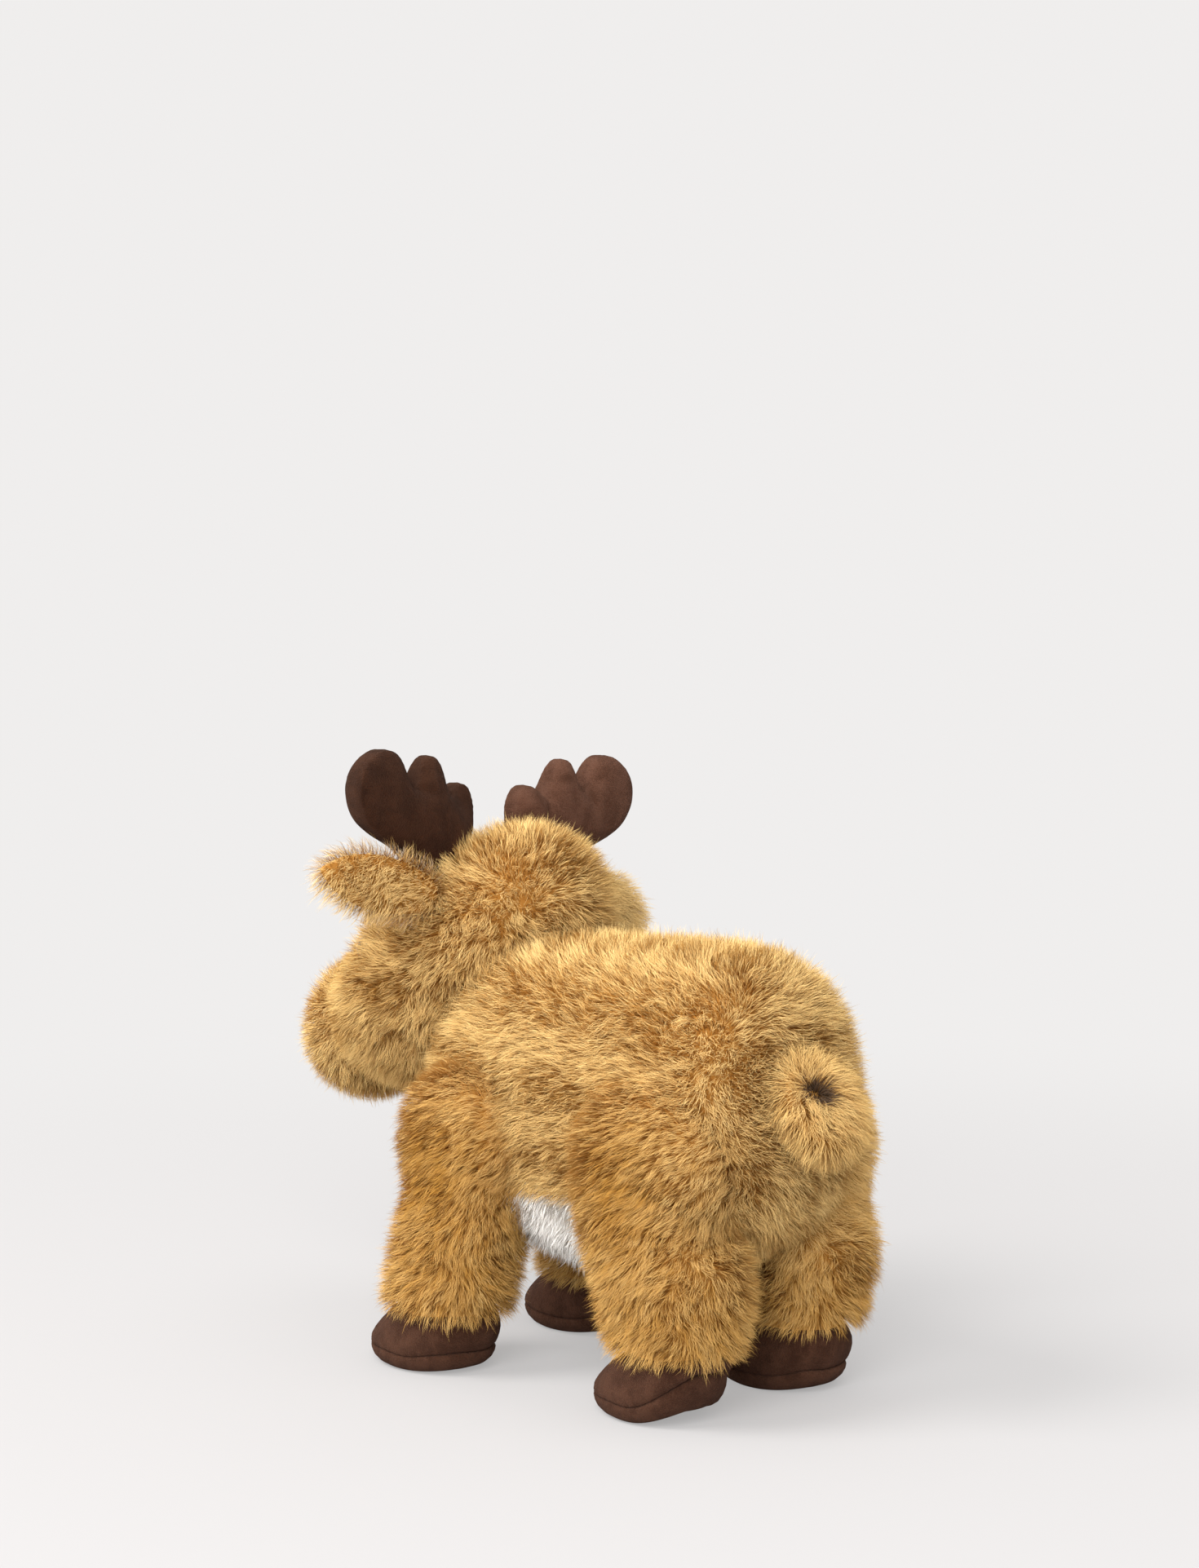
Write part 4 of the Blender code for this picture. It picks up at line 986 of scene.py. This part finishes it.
# Creases: the ends of each, its width in mm, and the share of the height that it takes away
CREASES = {
    "left": (((31.5, 26), (30, 17), 2.4, 0.22),),
    "right": (
        ((31.5, 26), (23, 30), 2.2, 0.20),
        ((28.5, 0.5), (14, -3), 1.8, 0.42),
        ((37, 9), (37, 19), 1.6, 0.10),
    ),
}
# How far the tines and the seam lean out of the pattern's plane, to the back: centre, reach, lean in mm
LEANS = {
    "left": (((26, -13), 12, -9.0), ((34, 60), 16, 1.0)),
    "right": (((25, -13), 11, 3.5), ((40, 45), 18, -1.5)),
}
SEAM_LEANS = {"left": (((24, 62), 34, 6.5),), "right": (((24, 62), 34, -3.0),)}
SEAM_REACH = 4.5 * MM  # how far in from the rim the fabric follows its seam
FILLED = 18.0 * MM  # the height that no width of pattern goes much beyond
PATTERN_STEP = 0.9 * MM
CURVE_STEPS = 24
RIM_ROWS = np.array([0.4, 0.9, 1.7, 3.0]) * MM
GROOVE = 1.3 * MM
PUCKERS = 0.14 * MM
MEMBRANE_CELL = 0.75 * MM
MEMBRANE_ROUNDS = 1800
READ_DEPTH = 1.2 * MM  # nearer to the rim than this, the membrane's cells are too coarse to read
FIELD_STEP = 2.0 * MM
FIELD_GAP = 1.1 * MM  # between the innermost row along the rim and the field of points inside
RELIEF = 0.25 * MM
RELIEF_FADE = 5 * MM


def closed_curve(points, step):
    """A closed Catmull-Rom curve through the points, with its own points a step apart."""
    neighbours = (np.roll(points, shift, axis=0)[:, None] for shift in (1, 0, -1, -2))
    curve = catmull_rom(*neighbours, CURVE_STEPS).reshape(-1, 2)
    closed = np.vstack([curve, curve[:1]])
    run = np.concatenate([[0], np.cumsum(np.linalg.norm(np.diff(closed, axis=0), axis=1))])
    places = np.linspace(0, run[-1], int(run[-1] / step), endpoint=False)
    return np.column_stack([np.interp(places, run, closed[:, k]) for k in (0, 1)])


def rim_distance(points, rim):
    """Distance to a closed line, over 0 inside it: by crossings, and by the nearest place on each side."""
    start, end = rim, np.roll(rim, -1, axis=0)
    side = end - start
    away = points[:, None] - start
    share = np.clip((away * side).sum(-1) / (side ** 2).sum(-1), 0, 1)
    nearest = np.linalg.norm(away - share[..., None] * side, axis=-1).min(axis=1)
    spans = (start[:, 1] > points[:, 1, None]) != (end[:, 1] > points[:, 1, None])
    crossing = start[:, 0] + (points[:, 1, None] - start[:, 1]) * side[:, 0] / (side[:, 1] + 1e-15)
    inside = ((points[:, 0, None] < crossing) & spans).sum(axis=1) % 2 == 1
    return np.where(inside, nearest, -nearest)


def membrane(rim):
    """The height of a membrane over the pattern: each cell is the mean of its neighbours plus a push."""
    low, high = rim.min(axis=0) - 2 * MM, rim.max(axis=0) + 2 * MM
    ups = np.arange(low[0], high[0], MEMBRANE_CELL)
    outs = np.arange(low[1], high[1], MEMBRANE_CELL)
    grid = np.stack(np.meshgrid(ups, outs, indexing="ij"), axis=-1)
    inside = rim_distance(grid.reshape(-1, 2), rim).reshape(grid.shape[:2]) > 0
    push = MEMBRANE_CELL ** 2 / 4
    height = np.zeros(inside.shape)
    for _ in range(MEMBRANE_ROUNDS):
        beside_each = height[2:, 1:-1] + height[:-2, 1:-1] + height[1:-1, 2:] + height[1:-1, :-2]
        height[1:-1, 1:-1] = beside_each / 4 + push
        height *= inside
    return low, height


def look_up(low, height, points):
    """The height between four cells, by the shares of the way between them."""
    place = (points - low) / MEMBRANE_CELL
    corner = np.clip(place.astype(int), 0, np.array(height.shape) - 2)
    u, v = (place - corner).T
    i, j = corner.T
    return (height[i, j] * (1 - u) * (1 - v) + height[i + 1, j] * u * (1 - v)
            + height[i, j + 1] * (1 - u) * v + height[i + 1, j + 1] * u * v)


rim = closed_curve(PATTERN, PATTERN_STEP)
low_corner, membrane_height = membrane(rim)
tangent = unit(np.roll(rim, -1, axis=0) - np.roll(rim, 1, axis=0))
inward = np.column_stack([-tangent[:, 1], tangent[:, 0]])
if rim_distance(rim + inward * MM, rim).mean() < 0:
    inward = -inward
steps = np.arange(len(rim))
pucker = PUCKERS * np.sin(steps * 1.55 + 0.8 * np.sin(steps * 0.31)) * (1 + 0.5 * np.sin(steps * 0.37))
rim_points = [rim + inward * (GROOVE * 0.5 + pucker[:, None])] + [rim + inward * row for row in RIM_ROWS]
ups, outs = (np.arange(rim[:, k].min(), rim[:, k].max(), FIELD_STEP) for k in (0, 1))
field = np.stack(np.meshgrid(ups, outs, indexing="ij"), axis=-1)
field[::2, :, 1] += FIELD_STEP / 2
field = field.reshape(-1, 2)
field = field[rim_distance(field, rim) > RIM_ROWS[-1] + FIELD_GAP]
flat = np.vstack([*rim_points, field])
count = len(rim)
ring = [(k, (k + 1) % count) for k in range(count)]
flat_vertices, _, flat_faces, *_ = geometry.delaunay_2d_cdt([Vector(p) for p in flat], ring, [], 1, 1e-7)
flat = np.array([tuple(vertex) for vertex in flat_vertices])
push_up = look_up(low_corner, membrane_height, flat)
deep = look_up(low_corner, membrane_height, rim + inward * READ_DEPTH)
for row, depth in enumerate((0, *RIM_ROWS[:2])):
    push_up[row * count:(row + 1) * count] = deep * depth / READ_DEPTH
round_height = np.sqrt(2 * np.maximum(push_up, 0))
puffed = round_height / (1 + (round_height / FILLED) ** 2.5) ** 0.4
from_rim = rim_distance(flat, rim)
print("antler pattern:", len(flat), "points, greatest half thickness", round(puffed.max() / MM, 1), "mm")


def antler(side, sign, material):
    """Two sheets of the pattern that share its rim, each raised by the membrane less the creases."""
    height = puffed.copy()
    for start, end, width, share in CREASES[side]:
        start, end = np.array(start) * MM, np.array(end) * MM
        step = end - start
        along = ((flat - start) @ step) / (step @ step)
        off = np.linalg.norm(flat - start - np.clip(along, 0, 1)[:, None] * step, axis=1)
        fade = 1 - 0.6 * np.clip(along, 0, 1)
        height *= 1 - share * fade * np.exp(-(off / (width * MM)) ** 2)
    up, out = flat.T
    waves = np.sin(up * 260 + 2.0 * np.sin(out * 190) + sign) * np.sin(out * 230 + 1.7 * np.sin(up * 210))
    height += RELIEF * waves * np.clip(from_rim / RELIEF_FADE, 0, 1)
    height[:count] = 0
    for row, share in enumerate((1.4, 1.0, 0.5), start=1):
        height[row * count:(row + 1) * count] += pucker * share

    def lean(leans):
        return sum(
            amount * MM * np.exp(-(np.linalg.norm(flat - np.array(centre) * MM, axis=1) / (reach * MM)) ** 2)
            for centre, reach, amount in leans
        )

    by_seam = np.exp(-np.maximum(from_rim, 0) / SEAM_REACH)
    middle = ANTLER_ROOT[1] + lean(LEANS[side]) + lean(SEAM_LEANS[side]) * by_seam
    sheets = [np.column_stack([ANTLER_ROOT[0] + out, middle + way * height, ANTLER_ROOT[2] + up])
              for way in (1, -1)]
    behind = np.arange(len(flat)) + len(flat)
    behind[:count] = np.arange(count)
    faces = [tuple(face) for face in flat_faces] + [tuple(behind[list(face)][::-1]) for face in flat_faces]
    vertices = np.vstack(sheets)
    vertices[:, 0] *= sign
    if face_vectors(vertices, np.array(faces))[1] < 0:
        faces = [face[::-1] for face in faces]
    piece = build(f"{side}_antler", on_head(vertices), faces, material, f"{side}_antler")
    mark_seam(piece, np.tile(np.maximum(from_rim, 0) / MM, 2))
    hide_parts(f"{side}_antler_cover", f"{side}_antler_stuffing")


def velour_finish(name, dark, light, patch=90):
    """Short pile: broad soft patches where the nap lies over, fine grain, a faint bloom at grazing angles,
    and painted shade, at most 0.9 mm wide on either side, in the groove along the seams."""
    finish = Finish(name, roughness=0.95, specular_ior_level=0.08, sheen_weight=0.10, sheen_roughness=0.5,
                    sheen_tint=(1.0, 0.58, 0.42))
    seam = finish.node("Attribute", {"attribute_name": "from_seam"}, output=2)
    by_seam = finish.rise(seam, 0.1, 0.9, lowest=0.62)
    patches = finish.noise(patch, detail=4, roughness=0.6)
    grain = finish.noise(1500, detail=3, roughness=0.7)
    worn = finish.rise(patches * 0.55 + grain * 0.45, 0.43, 0.57, kind="LINEAR")
    # painted shade in the seams' grooves: half of the dark colour, mixed in near the seam
    shadow = [share * 0.5 for share in dark]
    return finish.set(
        base_color=finish.mix(shadow, finish.mix(dark, light, worn), by_seam),
        normal=finish.node("Bump", {}, {"Height": grain + patches, "Strength": 1.0, "Distance": 0.0015}),
    )


# The antlers are one velour: the right one's lighter copy is painted light, the light that its mirrored nap
# catches
antler_velour = velour_finish("antler_velour", (0.022, 0.0066, 0.0022), (0.046, 0.0160, 0.0068))
lit_velour = velour_finish("lit_antler_velour", (0.074, 0.0290, 0.0155), (0.128, 0.056, 0.034))
hoof_velour = velour_finish("hoof_velour", (0.044, 0.0160, 0.0080), (0.082, 0.034, 0.0185), patch=110)
antler("left", 1, antler_velour)
antler("right", -1, lit_velour)

# %% [markdown]
# A hoof is a cup of the same velour, gathered into the leg at its top and sewn round a stuffed sole. Its toe
# is narrower than its heel, and the seam pulls a groove into both pieces, with a small pucker at each
# stitch. The left hind foot stands on its toe, so its sole and its seam rise towards the heel.

# %% Hooves
HOOF_HALF_SIZE = (0.0260, 0.0350)
HOOF_NECK = 0.0180
HOOF_AHEAD = 0.0090
HOOF_TOP = 0.0365
SOLE_SEAM = 0.0085
SEAM_WAVE = 0.5 * MM
BOTTOM_LIFT = 0.35  # of the seam's own rise at the heel
STITCHES = 46
STITCH_DEPTH = 0.012  # share of the foot's size that a stitch pulls in
STITCH_FADE = 1.6 * MM
TOE_TAPER = 0.30
HEEL_LIFTS = {"left_hind": 0.017, "right_hind": 0.004, "left_front": 0.003, "right_front": 0.003}
# Shares of the way up from the seam, of the way from the foot's size to the neck's, and of the reach ahead
UPPER = ((0.0, 0.07, 1.30), (0.010, 0.03, 1.30), (0.040, -0.01, 1.28), (0.11, -0.03, 1.20), (0.22, 0.0, 1.00),
         (0.36, 0.09, 0.72), (0.50, 0.23, 0.46), (0.63, 0.42, 0.26), (0.76, 0.68, 0.11), (0.88, 0.92, 0.03),
         (1.0, 1.0, 0.0))
# The same for the sole, with its shares down from the seam to the floor
SOLE = ((1.0, 1.15, 1.15), (0.985, 0.82, 1.18), (0.93, 0.56, 1.22), (0.80, 0.32, 1.26), (0.58, 0.13, 1.30),
        (0.34, 0.03, 1.30), (0.14, 0.0, 1.30), (0.04, 0.03, 1.30), (0.0, 0.07, 1.30))


def hoof_grid(leg, rows, bottom, lift):
    """Level rings between the seam and the sole's bottom or the top, tapered to the toe. The seam rises with
    the way from the middle to the heel, to the power 2.2, the bottom by a share of that, and the seam waves a
    little. Puckers fade a few millimetres from it. The last column is the distance from the seam in mm."""
    share, narrowing, ahead = np.array(rows).T[:, :, None]
    turn = full_turn(STITCHES * 4)
    level, toewards = squared(turn, 0.92)
    heel = lift * np.clip(0.05 - toewards, 0, 1) ** 2.2
    seam = SOLE_SEAM + heel + SEAM_WAVE * np.sin(5 * turn + 0.8 * np.sin(3 * turn))
    height = seam - share * (seam - BOTTOM_LIFT * heel) if bottom else seam + share * (HOOF_TOP - seam)
    from_seam = np.abs(height - seam)
    gather = 1 - STITCH_DEPTH * (1 + np.cos(turn * STITCHES)) * np.exp(-from_seam / STITCH_FADE)
    width, length = [(size + narrowing * (HOOF_NECK - size)) * gather for size in HOOF_HALF_SIZE]
    taper = 1 - TOE_TAPER * np.clip(toewards, 0, 1) ** 2 * (1 - np.clip(narrowing, 0, 1))
    out, back = leg["ankle_place"]
    ahead_of_leg = back - HOOF_AHEAD * ahead - length * toewards
    grid = points_of(out + width * level * taper, ahead_of_leg, height, from_seam / MM)
    caps = [end.mean(axis=0) + (end - end.mean(axis=0)) * 0.001 for end in (grid[0], grid[-1])]
    return np.concatenate([caps[0][None], grid, caps[1][None]])


for side, sign in SIDES.items():
    for kind, leg in LEGS.items():
        name = f"{side}_{kind}"
        for label, shown, rows in (("hoof_cover", "hoof_upper", UPPER), ("hoof_sole", "hoof_base", SOLE)):
            grid = hoof_grid(leg, rows, rows is SOLE, HEEL_LIFTS[name]) * (sign, 1, 1, 1)
            points, faces = closed_faces(grid[::-1] if sign > 0 else grid)
            piece = build(f"{name}_{shown}", on_torso(points[:, :3]), faces, hoof_velour, f"{name}_leg")
            mark_seam(piece, points[:, 3])
            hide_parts(f"{name}_{label}")

# %% [markdown]
# The nose is a small stuffed pad of velour, and each eye a turned dome of black plastic, polished, with a
# shank that a washer holds behind the fabric. None of them shows from behind.

# %% Nose and eyes
EYE_RADIUS = 0.0075
EYE_BULGE = 0.0062
EYE_SINK = 0.0020  # into the pile
EYE_SHANK = (0.0020, 0.0120)
NOSE_TOP_WIDER = 0.25

polar = np.linspace(0, np.pi, 25)[:, None]
turn = full_turn(48)
ball = points_of(np.sin(polar) * np.cos(turn), np.cos(polar), np.sin(polar) * np.sin(turn))
nose_shape = ball * NOSE_HALF_SIZE
nose_shape[..., 0] *= 1 + NOSE_TOP_WIDER * ball[..., 2]
vertices, faces = closed_faces(nose_shape + NOSE_PLACE)
nose = build("nose_pad", on_head(vertices), faces, hoof_velour, "head")
mark_seam(nose, abs(vertices[:, 1] - NOSE_PLACE[1]) / MM)
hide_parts("nose")

polish = Finish("black_plastic", base_color=(0.010, 0.007, 0.006), coat_weight=0.6)
black_plastic = polish.set(roughness=polish.noise(900, detail=2) * 0.06 + 0.05)
washer_plastic = grained("washer_plastic", (0.70, 0.70, 0.67), (0.80, 0.80, 0.77), 300, roughness=0.4)
dome_turn = np.linspace(0, np.pi / 2, 9)
eye_profile = [(EYE_RADIUS * math.sin(a), EYE_BULGE * math.cos(a)) for a in dome_turn]
eye_profile += [(EYE_SHANK[0], 0), (EYE_SHANK[0], -EYE_SHANK[1]), (0, -EYE_SHANK[1])]
for side, sign in SIDES.items():
    facing = np.array(Vector(eye_outward(sign)).to_track_quat("Z", "Y").to_matrix())
    radius, height = np.array(eye_profile).T[:, :, None]
    own = points_of(radius * np.cos(turn), radius * np.sin(turn), height)
    vertices, faces = closed_faces(own @ facing.T + EYE_PLACE * (sign, 1, 1) - EYE_SINK * eye_outward(sign))
    eye = build(f"{side}_eye_dome", on_head(vertices), faces, black_plastic, "head")
    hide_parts(f"{side}_eye")
    washer = frame["nodes"][f"{side}_eye_washer"]
    washer.data.materials.clear()
    washer.data.materials.append(washer_plastic)
